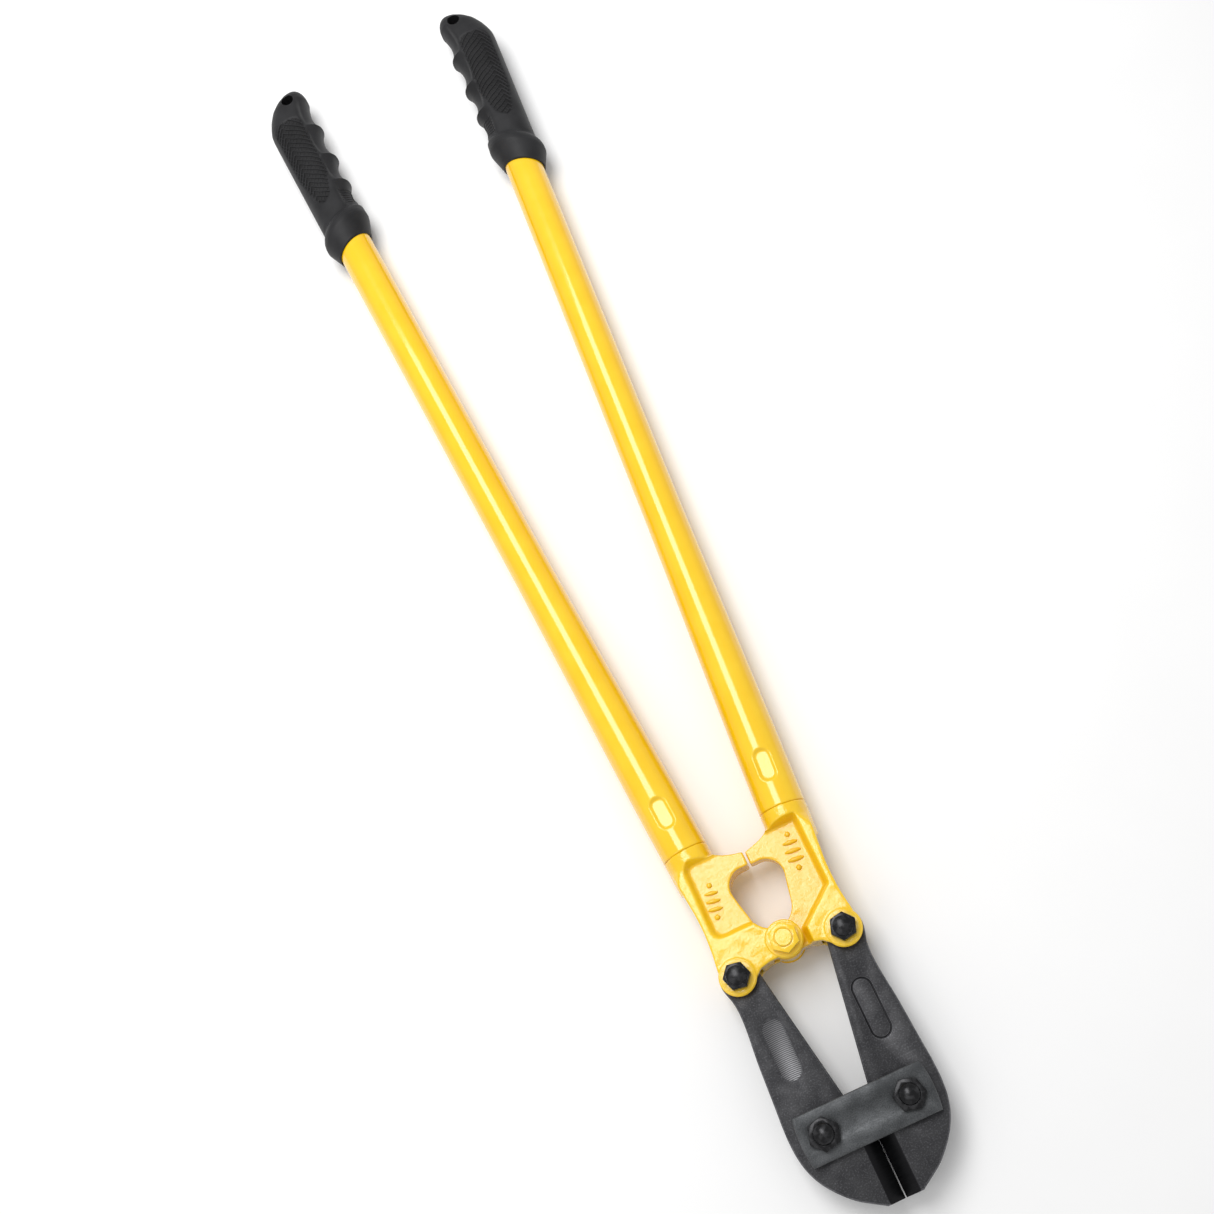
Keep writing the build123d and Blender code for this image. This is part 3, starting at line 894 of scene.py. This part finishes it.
@dataclass
class Tubes:
    """The yellow handle tubes, each locked to its casting by a pocket pressed in from both faces."""

    datum: Datum
    axis: HandleAxis
    start: float = 75.0
    end: float = 706.0
    taper: tuple[float, float] = (122.0, 290.0)
    thick_radius: float = 15.0
    thin_radius: float = 13.5
    wall: float = 2.0
    edge: float = 0.5
    columns: int = 176
    stake_at: float = 102.0
    stake_length: float = 20.5
    stake_width: float = 10.5
    stake_corner: float = 4.8
    stake_depth: float = 2.2
    stake_slope: float = 2.6
    fine_step: float = 0.55
    coarse_step: float = 12.0

    def radius(self, along: np.ndarray) -> np.ndarray:
        """Outer radius at a distance along the tube."""
        return np.interp(along, self.taper, (self.thick_radius, self.thin_radius))

    def press(self, along: np.ndarray, outward: np.ndarray, up: np.ndarray, inset: float) -> np.ndarray:
        """Heights after the lock pockets are pressed in.

        Args:
            along: distances along the tube.
            outward: distances from its axis.
            up: heights of the round tube.
            inset: how far inside the outer skin this surface lies.

        Returns:
            The pressed heights.
        """
        corner = self.stake_corner
        dx = np.abs(outward) - (self.stake_width / 2 - corner)
        dy = np.abs(along - self.stake_at) - (self.stake_length / 2 - corner)
        beyond = np.hypot(np.maximum(dx, 0), np.maximum(dy, 0)) + np.minimum(np.maximum(dx, dy), 0) - corner
        weight = smooth_step(-beyond, -self.stake_slope * 0.45, self.stake_slope * 0.55)
        floor = self.thick_radius - self.stake_depth - inset
        pressed = np.sign(up) * np.minimum(np.abs(up), floor)
        return up * (1 - weight) + pressed * weight

    def shell(self, name: str, side: Side) -> bpy.types.Object:
        """The closed tube, outer wall and bore."""
        fine_end = self.stake_at + self.stake_length
        stations = np.concatenate([
            np.arange(self.start + self.edge, fine_end, self.fine_step),
            np.arange(fine_end, self.end, self.coarse_step), [self.end]])
        rows = [(self.start, -self.edge)] + [(s, 0.0) for s in stations]
        rows += [(s, -self.wall) for s in stations[::-4]] + [(self.start, -self.wall)]
        turn = np.linspace(0, 2 * math.pi, self.columns, endpoint=False)
        points = []
        for along, step in rows:
            radius = float(self.radius(np.array(along))) + step
            s, t, z = np.full(self.columns, along), radius * np.cos(turn), radius * np.sin(turn)
            points.append(self.axis.place(s, t, self.press(s, t, z, -step), side))
        faces = grid_faces(len(rows), self.columns, close_rows=True)
        obj = new_object(name, self.datum.place(np.concatenate(points)), faces)
        shade(obj, 50.0)
        return obj

    def build(self, enamel: bpy.types.Material) -> None:
        """Builds and dresses both tubes."""
        for side in Side:
            node = f"{side.word}_handle_tube"
            dress(self.shell(f"{node}_skin", side), [enamel], "tube_yellow_enamel",
                  f"{side.word}_handle", [node])


@dataclass
class Grips:
    """The moulded rubber grips: a slanted collar, four finger scallops, a knurled back and a hang hole."""

    datum: Datum
    axis: HandleAxis
    mouth: float = 590.5
    end: float = 743.5
    slant_degrees: float = 18.5
    slant_fades: tuple[float, float] = (612.0, 652.0)
    collar: tuple = ((590.5, 14.1), (590.8, 14.7), (591.6, 15.1), (593.0, 15.5), (604.5, 19.45),
                     (606.0, 19.8), (608.5, 19.75), (610.5, 19.4), (612.3, 18.6), (613.6, 17.6),
                     (614.6, 16.9), (616.5, 16.4), (620.0, 16.3), (630.0, 16.3))
    collar_merge: tuple[float, float] = (612.5, 619.0)
    bore: float = 13.4
    bore_depth: float = 12.0
    half_height: float = 16.2
    outer: tuple = ((608.0, 16.3), (711.0, 16.3), (715.0, 15.9), (719.0, 14.6), (724.5, 12.4), (731.5, 8.2),
                    (736.5, 3.0), (740.3, -3.0), (742.6, -8.0), (743.5, -13.0))
    inner: tuple = ((608.0, -19.6), (645.0, -19.8), (671.5, -20.6), (701.6, -21.3), (729.0, -21.2),
                    (734.0, -21.4), (736.5, -21.0), (738.5, -20.3), (740.5, -18.9), (742.0, -17.5),
                    (743.5, -13.0))
    height: tuple = ((711.0, 1.0), (720.0, 0.97), (729.5, 0.9), (735.5, 0.79), (739.5, 0.64),
                     (741.9, 0.47), (743.0, 0.3), (743.5, 0.0))
    middle: tuple = ((705.0, 0.0), (743.5, -13.0))
    squareness: float = 2.3
    scallops: tuple = ((613.5, 645.0, 3.7), (645.0, 671.5, 3.9), (671.5, 701.6, 4.0), (701.6, 731.0, 3.7))
    scallop_from: float = 108.0
    scallop_full: float = 131.0
    hole_at: tuple[float, float] = (731.5, -8.4)
    hole_radius: float = 4.75
    hole_edge: float = 0.9
    columns: int = 168
    row_step: float = 0.7
    panel: tuple[float, float, float, float] = (630.0, 713.0, 42.0, 118.0)
    panel_corner: float = 8.0
    panel_narrows: float = 5.5
    panel_depth: float = 0.65
    chevron_pitch: float = 4.6
    chevron_apex: float = 3.0
    chevron_lean: float = 45.0
    cross_pitch: float = 2.8
    rib_count: int = 6
    rib_pitch: float = 3.0
    ribs_from: float = 620.0
    rib_span: tuple[float, float, float] = (122.0, 239.0, 4.0)

    def panel_inset(self, along: np.ndarray, angle: np.ndarray) -> np.ndarray:
        """How many millimetres inside the knurled panel's border a spot lies; negative outside it.

        Args:
            along: distances along the grip.
            angle: degrees round the section.
        """
        start, stop, low, high = self.panel
        around = np.abs((angle + 180.0) % 360.0 - 180.0)
        across = (around - (low + high) / 2) * math.radians(1) * self.half_height
        half = (high - low) / 2 * math.radians(1) * self.half_height
        half = half - self.panel_narrows * (1 - smooth_step(along, start, start + 34.0))
        dx = np.abs(across) - (half - self.panel_corner)
        dy = np.abs(along - (start + stop) / 2) - ((stop - start) / 2 - self.panel_corner)
        beyond = np.hypot(np.maximum(dx, 0), np.maximum(dy, 0)) + np.minimum(np.maximum(dx, dy), 0)
        return self.panel_corner - beyond

    def scallop_depth(self, along: np.ndarray) -> np.ndarray:
        """How deep the finger scallops are at a distance along the grip."""
        depth = np.zeros_like(along)
        for start, stop, deepest in self.scallops:
            share = np.clip((along - start) / (stop - start), 0, 1)
            depth = np.maximum(depth, deepest * (4 * share * (1 - share)) ** 0.9)
        return depth

    def section(self, along: np.ndarray, angle: np.ndarray) -> tuple[np.ndarray, np.ndarray]:
        """The grip's section.

        Args:
            along: distances along the grip.
            angle: degrees round the section, from the outer side over the top to the inner side.

        Returns:
            Distances outwards and heights.
        """
        turn = np.radians(angle)
        ring = np.interp(along, *zip(*self.collar))
        merge = smooth_step(along, *self.collar_merge)
        middle = np.interp(along, *zip(*self.middle))
        out = np.interp(along, *zip(*self.outer)) - middle
        inn = middle - np.interp(along, *zip(*self.inner))
        tall = self.half_height * np.interp(along, *zip(*self.height))
        out, inn, tall = (ring * (1 - merge) + v * merge for v in (out, inn, tall))
        inn = np.where((along > 606.0) & (along < 700.0), np.maximum(inn, 19.5), inn)
        power = 2 / (2 + (self.squareness - 2) * merge)
        across = np.cos(turn)
        t = np.sign(across) * np.abs(across) ** power * np.where(across > 0, out, inn)
        z = np.sign(np.sin(turn)) * np.abs(np.sin(turn)) ** power * tall
        around = np.abs((angle + 180.0) % 360.0 - 180.0)
        cut = self.scallop_depth(along) * smooth_step(around, self.scallop_from, self.scallop_full)
        cut = cut + self.panel_depth * smooth_step(self.panel_inset(along, angle), -0.4, 0.6)
        shrink = 1 - cut / 19.8
        return middle + t * shrink, z * shrink

    def place(self, along: np.ndarray, angle: np.ndarray, side: Side) -> np.ndarray:
        """Points of the grip's skin, in metres."""
        t, z = self.section(along, angle)
        tilt = math.tan(math.radians(self.slant_degrees)) * (1 - smooth_step(along, *self.slant_fades))
        return self.datum.place(self.axis.place(along - t * tilt, t, z, side))

    def body(self, name: str, side: Side, materials: Sequence[bpy.types.Material]) -> bpy.types.Object:
        """The grip's closed skin, from inside its mouth to its tail.

        Args:
            name: the object's name.
            side: which grip.
            materials: the rubber, and the same rubber darkened as painted shade for the sunk panel.
        """
        back, tail_run = self.collar_merge[1], 6.0
        collar_rows = np.unique(np.concatenate([[s for s, _ in self.collar], np.arange(592, back, 0.6)]))
        rest = np.arange(back, self.end - tail_run, self.row_step)
        tail = self.end - (1 - np.linspace(0, 1, 24)) ** 2 * tail_run
        rows = np.concatenate([collar_rows[collar_rows < back], rest, tail])
        turn = np.linspace(0, 360.0, self.columns, endpoint=False)
        along, angle = np.meshgrid(rows, turn, indexing="ij")
        skin = self.place(along.ravel(), angle.ravel(), side)
        tilt = math.tan(math.radians(self.slant_degrees))
        inside = []
        for deep, radius in ((self.bore_depth, 0.0), (self.bore_depth, self.bore), (0.2, self.bore)):
            t, z = radius * np.cos(np.radians(turn)), radius * np.sin(np.radians(turn))
            inside.append(self.datum.place(self.axis.place(self.mouth + deep - t * tilt, t, z, side)))
        points = np.concatenate([*inside, skin])
        # the faces inside the sunk panel, which take the rubber darkened as painted shade
        sunk = np.ravel(self.panel_inset(along, angle)) > 0.1
        sunk = np.concatenate([np.zeros(len(inside) * self.columns, bool), sunk])
        faces = grid_faces(len(rows) + len(inside), self.columns)
        obj = new_object(name, points, faces, [int(all(sunk[i] for i in face)) for face in faces])
        for material in materials:
            obj.data.materials.append(material)
        self.pierce(obj, side)
        shade(obj, 42.0)
        return obj

    def pierce(self, obj: bpy.types.Object, side: Side) -> None:
        """Cuts the hang hole, with a rounded lip top and bottom."""
        along, outward = (np.array([v]) for v in self.hole_at)
        centre = self.axis.place(along, outward, np.zeros(1), side)[0]
        lip, top, edge = 14.3, 24.0, self.hole_edge
        upper = [(self.hole_radius + edge - p[0], lip - edge + p[1]) for p in arc((0.0, 0.0), edge, 0, 90, 6)]
        upper += [(self.hole_radius + edge + 1.5, lip + 1.0), (self.hole_radius + edge + 2.0, top),
                  (0.0, top)]
        profile = [(r, -z) for r, z in reversed(upper)] + upper
        cutter = turned("hole_cutter", profile, (centre[0], centre[1]), self.datum, 48)
        cut = obj.modifiers.new("hole", "BOOLEAN")
        cut.operation = "DIFFERENCE"
        cut.solver = "EXACT"
        cut.object = cutter
        freeze(obj)
        bpy.data.objects.remove(cutter)

    def normal(self, along: np.ndarray, angle: np.ndarray,
               side: Side) -> tuple[np.ndarray, np.ndarray, np.ndarray]:
        """Unit vectors on the skin: along the grip, round it and straight out of it."""
        step = 0.2
        down = self.place(along + step, angle, side) - self.place(along - step, angle, side)
        round_it = self.place(along, angle + step, side) - self.place(along, angle - step, side)
        down /= np.linalg.norm(down, axis=1)[:, None]
        round_it /= np.linalg.norm(round_it, axis=1)[:, None]
        out = np.cross(round_it, down) * side.value
        return down, round_it, out / np.linalg.norm(out, axis=1)[:, None]

    def knurling(self, name: str, side: Side, rubber: bpy.types.Material) -> list[bpy.types.Object]:
        """Chevron knurling in the sunk panels, top and bottom: raised ribs tied by lower cross-bars."""
        start, stop, low, high = self.panel
        millimetre = math.degrees(1 / self.half_height)
        lean = math.radians(self.chevron_lean)
        apex = (low + high) / 2 - self.chevron_apex * millimetre
        made = []
        for level in (1, -1):
            spots = []
            for row in np.arange(start - 4.0, stop + 22.0, self.chevron_pitch):
                for arm in (-1, 1):
                    reach = np.arange(0.45, 32.0, 0.9)
                    along = row - reach * math.cos(lean)
                    angle = apex + arm * reach * math.sin(lean) * millimetre
                    kept = self.panel_inset(along, angle) > 0.2
                    bars = np.abs(reach % self.cross_pitch - self.cross_pitch / 2) < 0.45
                    hand = np.full_like(along, arm * level)
                    spots.append(np.stack([along, angle * level, hand, bars])[:, kept])
            along, angle, hand, bars = np.concatenate(spots, axis=1)
            down, round_it, out = self.normal(along, angle, side)
            rib = -down * math.cos(lean) + round_it * (hand * math.sin(lean))[:, None]
            across = down * math.sin(lean) + round_it * (hand * math.cos(lean))[:, None]
            base = self.place(along, angle, side)
            made.append(BeadField(2.2, 1.1, 1.5, 8, 4, spread=0.0).build(name, base, rib, out, rubber))
            tied = bars > 0.5
            middle = base[tied] + across[tied] * self.chevron_pitch * 0.353 * MM
            made.append(BeadField(3.3, 0.8, 0.7, 8, 4, seed=11).build(
                name, middle, across[tied], out[tied], rubber))
        return made

    def finger_ribs(self, name: str, side: Side, rubber: bpy.types.Material) -> bpy.types.Object:
        """Fine ribs across the first scallop, beside the collar."""
        ribs = np.arange(self.rib_count) * self.rib_pitch + self.ribs_from
        angles = np.arange(*self.rib_span)
        along, angle = (g.ravel() for g in np.meshgrid(ribs, angles, indexing="ij"))
        _, round_it, out = self.normal(along, angle, side)
        return BeadField(2.0, 0.9, 0.8, 8, 4, seed=3, spread=0.0).build(
            name, self.place(along, angle, side), round_it, out, rubber)

    def build(self, rubber: bpy.types.Material, knurl_shade: bpy.types.Material) -> None:
        """Builds and dresses both grips."""
        for side in Side:
            node = f"{side.word}_grip"
            skin = self.body(f"{node}_skin", side, (rubber, knurl_shade))
            join(skin, [*self.knurling("knurling", side, rubber), self.finger_ribs("ribs", side, rubber)])
            dress(skin, [], "grip_rubber", f"{side.word}_handle", [node])


@dataclass
class Jaws:
    """The forged jaws, with ground cutting bevels and a milled slot or groove on each face."""

    datum: Datum
    edge: float = 0.28
    half_thickness: float = 8.0
    blade_start: float = -114.0
    blade_reach: float = 9.6
    slot_at: tuple[float, float] = (29.4, -57.2)
    slot_length: float = 38.0
    slot_width: float = 13.2
    slot_depth: float = 1.0

    def sort_faces(self, obj: bpy.types.Object) -> None:
        """Gives each face its finish: forged skin, ground bevel, milled floor, the near-black ground finish
        as painted shade on the slot's walls and in the right groove, or an edge chamfer painted lighter, part
        rubbed wear and part painted highlight.
        """
        origin = Vector(self.datum.origin)
        for face in obj.data.polygons:
            x, y, z = (face.center - origin) / MM
            slope = abs(face.normal.z)
            in_slot = (abs(abs(x) - self.slot_at[0]) < self.slot_width / 2
                       and abs(y - self.slot_at[1]) < self.slot_length / 2)
            sunk = abs(z) < self.half_thickness - 0.3 * self.slot_depth
            facet = Facet.SKIN
            on_blade = y < self.blade_start + 1 and abs(x) < self.blade_reach
            if on_blade and 0.2 < slope < 0.99 and abs(z) < self.half_thickness - 0.01:
                facet = Facet.GROUND
            elif in_slot and sunk:
                # painted shade: the slot's walls, and all of the right groove, take the near-black ground
                # finish
                facet = Facet.MILLED if slope > 0.9 and x < 0 else Facet.GROUND
            # chamfer bands along the faces: painted paler, part rubbed wear and part painted highlight
            elif 0.3 < slope < 0.95 and abs(z) > self.half_thickness - 1.1:
                facet = Facet.WORN
            face.material_index = facet.value

    def build(self, frame: dict, finishes: dict[Facet, dict[Side, bpy.types.Material]]) -> None:
        """Builds and dresses both jaws.

        Args:
            frame: the loaded frame.
            finishes: a material for each kind of face, on each side.
        """
        for side in Side:
            node = f"{side.word}_jaw"
            skin = cad_copy(frame["nodes"][node], f"{node}_skin")
            soften_edges(skin, self.edge)
            self.sort_faces(skin)
            dress(skin, [], "forged_black_steel", node, [node])
            for facet in Facet:
                skin.data.materials.append(finishes[facet][side])


def soften_edges(obj: bpy.types.Object, width_mm: float, segments: int = 2) -> None:
    """Flattens the CAD copy's faces into one face each, and rounds its sharp edges a little."""
    rework(obj, lambda form: bmesh.ops.dissolve_limit(form, angle_limit=math.radians(0.5), verts=form.verts,
                                                      edges=form.edges))
    bevel = obj.modifiers.new("edges", "BEVEL")
    bevel.width = width_mm * MM
    bevel.segments = segments
    bevel.limit_method = "ANGLE"
    bevel.angle_limit = math.radians(28.0)
    bevel.use_clamp_overlap = True
    freeze(obj)
    shade(obj, 30.0)


@dataclass
class StrapPlates:
    """The two straps that tie the jaws together, above and below."""

    datum: Datum
    edge: float = 0.3

    def build(self, frame: dict, steel: bpy.types.Material, worn: bpy.types.Material) -> None:
        """Builds and dresses both plates."""
        for word in ("upper", "lower"):
            node = f"{word}_strap_plate"
            skin = cad_copy(frame["nodes"][node], f"{node}_skin")
            soften_edges(skin, self.edge)
            for face in skin.data.polygons:
                # slanted bevel faces take the paler steel: part rubbed wear, part painted highlight
                face.material_index = int(0.3 < abs(face.normal.z) < 0.95)
            dress(skin, [], "strap_steel", "strap_plates", [node])
            for material in (steel, worn):
                skin.data.materials.append(material)


@dataclass
class Fastener:
    """A bolt up through a joint and the hexagonal nut on its end."""

    datum: Datum
    name: str
    body: str
    slot: str
    centre: tuple[float, float]
    seat: float
    shank: float
    nut_height: float
    end_radius: float
    end_rise: float
    floor: float = -20.0
    head_extra: float = 4.0
    head_edge: float = 1.5
    nut_edge: float = 0.35
    flat_end: bool = False

    def bolt(self, name: str) -> bpy.types.Object:
        """The turned bolt: a round head below, and a domed or flat end above the nut."""
        head, edge = self.shank + self.head_extra, self.head_edge
        top, rise, end = self.seat + self.nut_height, self.end_rise, self.end_radius
        profile = [(0.0, self.floor), (head - edge, self.floor),
                   *arc((head - edge, self.floor + edge), edge, -90, 0),
                   (head, -self.seat), (self.shank, -self.seat), (self.shank, top - 0.6), (end, top - 0.6)]
        if self.flat_end:
            profile += [(end, top + rise - 0.5), (end - 0.5, top + rise), (0.0, top + rise)]
        else:
            collar = 0.28 * rise
            ball = (end ** 2 + (rise - collar) ** 2) / (2 * (rise - collar))
            half = math.degrees(math.asin((end - 0.45) / ball))
            profile += [(end, top + collar * 0.6), (end - 0.15, top + collar),
                        (end - 0.4, top + collar * 0.9)]
            dome = arc((0.0, top + rise - ball), ball, 90 - half, 90, 14)
            profile += [p for p in dome if p[0] > 1e-3] + [(0.0, top + rise)]
        return turned(name, profile, self.centre, self.datum, 64)

    def build(self, frame: dict, material: bpy.types.Material) -> None:
        """Builds and dresses the bolt and its nut."""
        bolt, nut = f"{self.name}_bolt", f"{self.name}_nut"
        dress(self.bolt(f"{bolt}_skin"), [material], self.slot, self.body, [bolt])
        skin = cad_copy(frame["nodes"][nut], f"{nut}_skin")
        soften_edges(skin, self.nut_edge)
        dress(skin, [material], self.slot, self.body, [nut])


# ---------------------------------------------------------------- studio


@dataclass
class Studio:
    """White paper, a long softbox overhead, and a small fill."""

    floor_half: float = 4.0
    box_place: tuple[float, float, float] = (-0.17, 0.42, 1.25)
    box_size: tuple[float, float] = (0.6, 1.1)
    box_power: float = 12.5
    fill_place: tuple[float, float, float] = (-0.9, -0.6, 1.4)
    fill_size: tuple[float, float] = (0.8, 0.8)
    fill_power: float = 2.5
    sky: float = 0.56

    def light(self, name: str, place: tuple, size: tuple[float, float], power: float, aim: tuple) -> None:
        """Hangs one soft light, facing the spot that it is aimed at."""
        lamp = bpy.data.lights.new(name, "AREA")
        lamp.shape = "RECTANGLE"
        lamp.size, lamp.size_y = size
        lamp.energy = power
        obj = bpy.data.objects.new(name, lamp)
        bpy.context.scene.collection.objects.link(obj)
        obj.location = place
        obj.rotation_euler = (Vector(aim) - Vector(place)).to_track_quat("-Z", "Y").to_euler()

    def build(self, paper: bpy.types.Material) -> None:
        """Lays the floor and hangs the lights."""
        half, low = self.floor_half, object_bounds()[0][2]
        corners = [(-half, -half, low), (half, -half, low), (half, half, low), (-half, half, low)]
        mesh = bpy.data.meshes.new("studio_floor")
        mesh.from_pydata(corners, [], [(0, 1, 2, 3)])
        floor = bpy.data.objects.new("studio_floor", mesh)
        bpy.context.scene.collection.objects.link(floor)
        mesh.materials.append(paper)
        floor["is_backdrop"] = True
        under = (*self.box_place[:2], 0.0)
        self.light("softbox", self.box_place, self.box_size, self.box_power, under)
        self.light("fill", self.fill_place, self.fill_size, self.fill_power, (0.0, 0.0, 0.0))
        world = bpy.data.worlds.new("studio_air")
        world.use_nodes = True
        world.node_tree.nodes["Background"].inputs["Color"].default_value = linear("#FFFFFF")
        world.node_tree.nodes["Background"].inputs["Strength"].default_value = self.sky
        bpy.context.scene.world = world
        bpy.context.scene.view_settings.view_transform = "Standard"


@dataclass
class StudioCamera:
    """The camera: what it looks at, from how far and from which way, in metres and degrees."""

    aim: tuple[float, float, float] = (-0.01265, -0.04385, 0.020)
    distance: float = 1.0741
    heading: float = -3.477
    down: float = 68.944
    roll: float = -28.70
    lens_mm: float = 47.886
    sensor_mm: float = 36.0

    def build(self) -> None:
        """Places the camera and makes it the scene's own."""
        heading, down, roll = (math.radians(v) for v in (self.heading, self.down, self.roll))
        flat = math.cos(down)
        ahead = Vector((math.sin(heading) * flat, math.cos(heading) * flat, -math.sin(down)))
        level = ahead.cross(Vector((0, 0, 1))).normalized()
        above = level.cross(ahead)
        right = level * math.cos(roll) + above * math.sin(roll)
        upward = right.cross(ahead)
        data = bpy.data.cameras.new("camera")
        data.lens = self.lens_mm
        data.sensor_width = self.sensor_mm
        data.clip_start = 0.05
        data.clip_end = 30.0
        camera = bpy.data.objects.new("camera", data)
        bpy.context.scene.collection.objects.link(camera)
        turn = Matrix((right, upward, -ahead)).transposed().to_4x4()
        camera.matrix_world = Matrix.Translation(Vector(self.aim) - ahead * self.distance) @ turn
        bpy.context.scene.camera = camera


def main() -> None:
    """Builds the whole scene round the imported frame."""
    logging.basicConfig(level=logging.INFO, format="%(name)s: %(message)s")
    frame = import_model()
    datum, axis = Datum.of(frame), HandleAxis()

    cast_enamel = Enamel("sprayed_enamel_on_cast_iron", ripple_mm=4.0, ripple_height_mm=0.55,
                         peel_mm=1.5, peel_height_mm=0.08, roughness=(0.15, 0.25)).build()
    tube_enamel = Enamel("sprayed_enamel_on_steel_tube").build()
    rubber = Rubber("moulded_black_rubber").build()
    # the same rubber darkened as painted shade for the knurled panel's floor
    knurl_shade = Rubber("rubber_in_knurl_pits", colour="#0F0F10", bloom_colour="#151516").build()
    forged = ForgedSteel("blasted_forged_steel").build()
    ground = GroundSteel("ground_blade_steel").build()
    # the chamfer bands' paler steel: part rubbed wear, part painted highlight
    worn = ForgedSteel("rubbed_forged_edge", colour="#5E5E61", cloud_colour="#454548",
                       speck_colour="#8A8A8E").build()
    strap = StrapSteel("linished_strap_steel").build()
    # the strap bevels' paler steel: part rubbed wear, part painted highlight
    worn_and_highlit_strap = StrapSteel("rubbed_strap_edge", colour="#434446", rubbed_colour="#6A6B6D").build()
    oxide = BlackOxide("oiled_black_oxide").build()

    castings = Castings(datum, axis)
    castings.build(frame, cast_enamel)
    Tubes(datum, axis).build(tube_enamel)
    Grips(datum, axis).build(rubber, knurl_shade)
    jaws = Jaws(datum)
    milled = {}
    for side in Side:
        spot = datum.place(np.array([[side.value * jaws.slot_at[0], jaws.slot_at[1] - 60.0, 0.0]]))[0]
        milled[side] = MilledSteel(f"milled_slot_steel_{side.word}", tuple(float(v) for v in spot)).build()
    both = {Facet.SKIN: forged, Facet.GROUND: ground, Facet.WORN: worn}
    finishes = {facet: {side: material for side in Side} for facet, material in both.items()}
    finishes[Facet.MILLED] = milled
    jaws.build(frame, finishes)
    StrapPlates(datum).build(frame, strap, worn_and_highlit_strap)

    Fastener(datum, "centre", "left_handle", "cast_yellow_enamel", (0.0, 0.0), 14.5, 5.6, 6.0, 5.4, 0.9,
             flat_end=True).build(frame, cast_enamel)
    for side in Side:
        ear = (side.value * castings.ear[0], castings.ear[1])
        Fastener(datum, f"{side.word}_ear", f"{side.word}_handle", "black_oxide_fastener",
                 ear, 14.5, 5.0, 6.4, 6.2, 2.4).build(frame, oxide)
        Fastener(datum, f"{side.word}_jaw", "strap_plates", "black_oxide_fastener",
                 (side.value * 27.3, -110.3), 13.75, 6.0, 4.6, 6.3, 4.2).build(frame, oxide)

    Studio().build(StudioPaper("seamless_paper").build())
    StudioCamera().build()


if __name__ == "__main__":
    main()
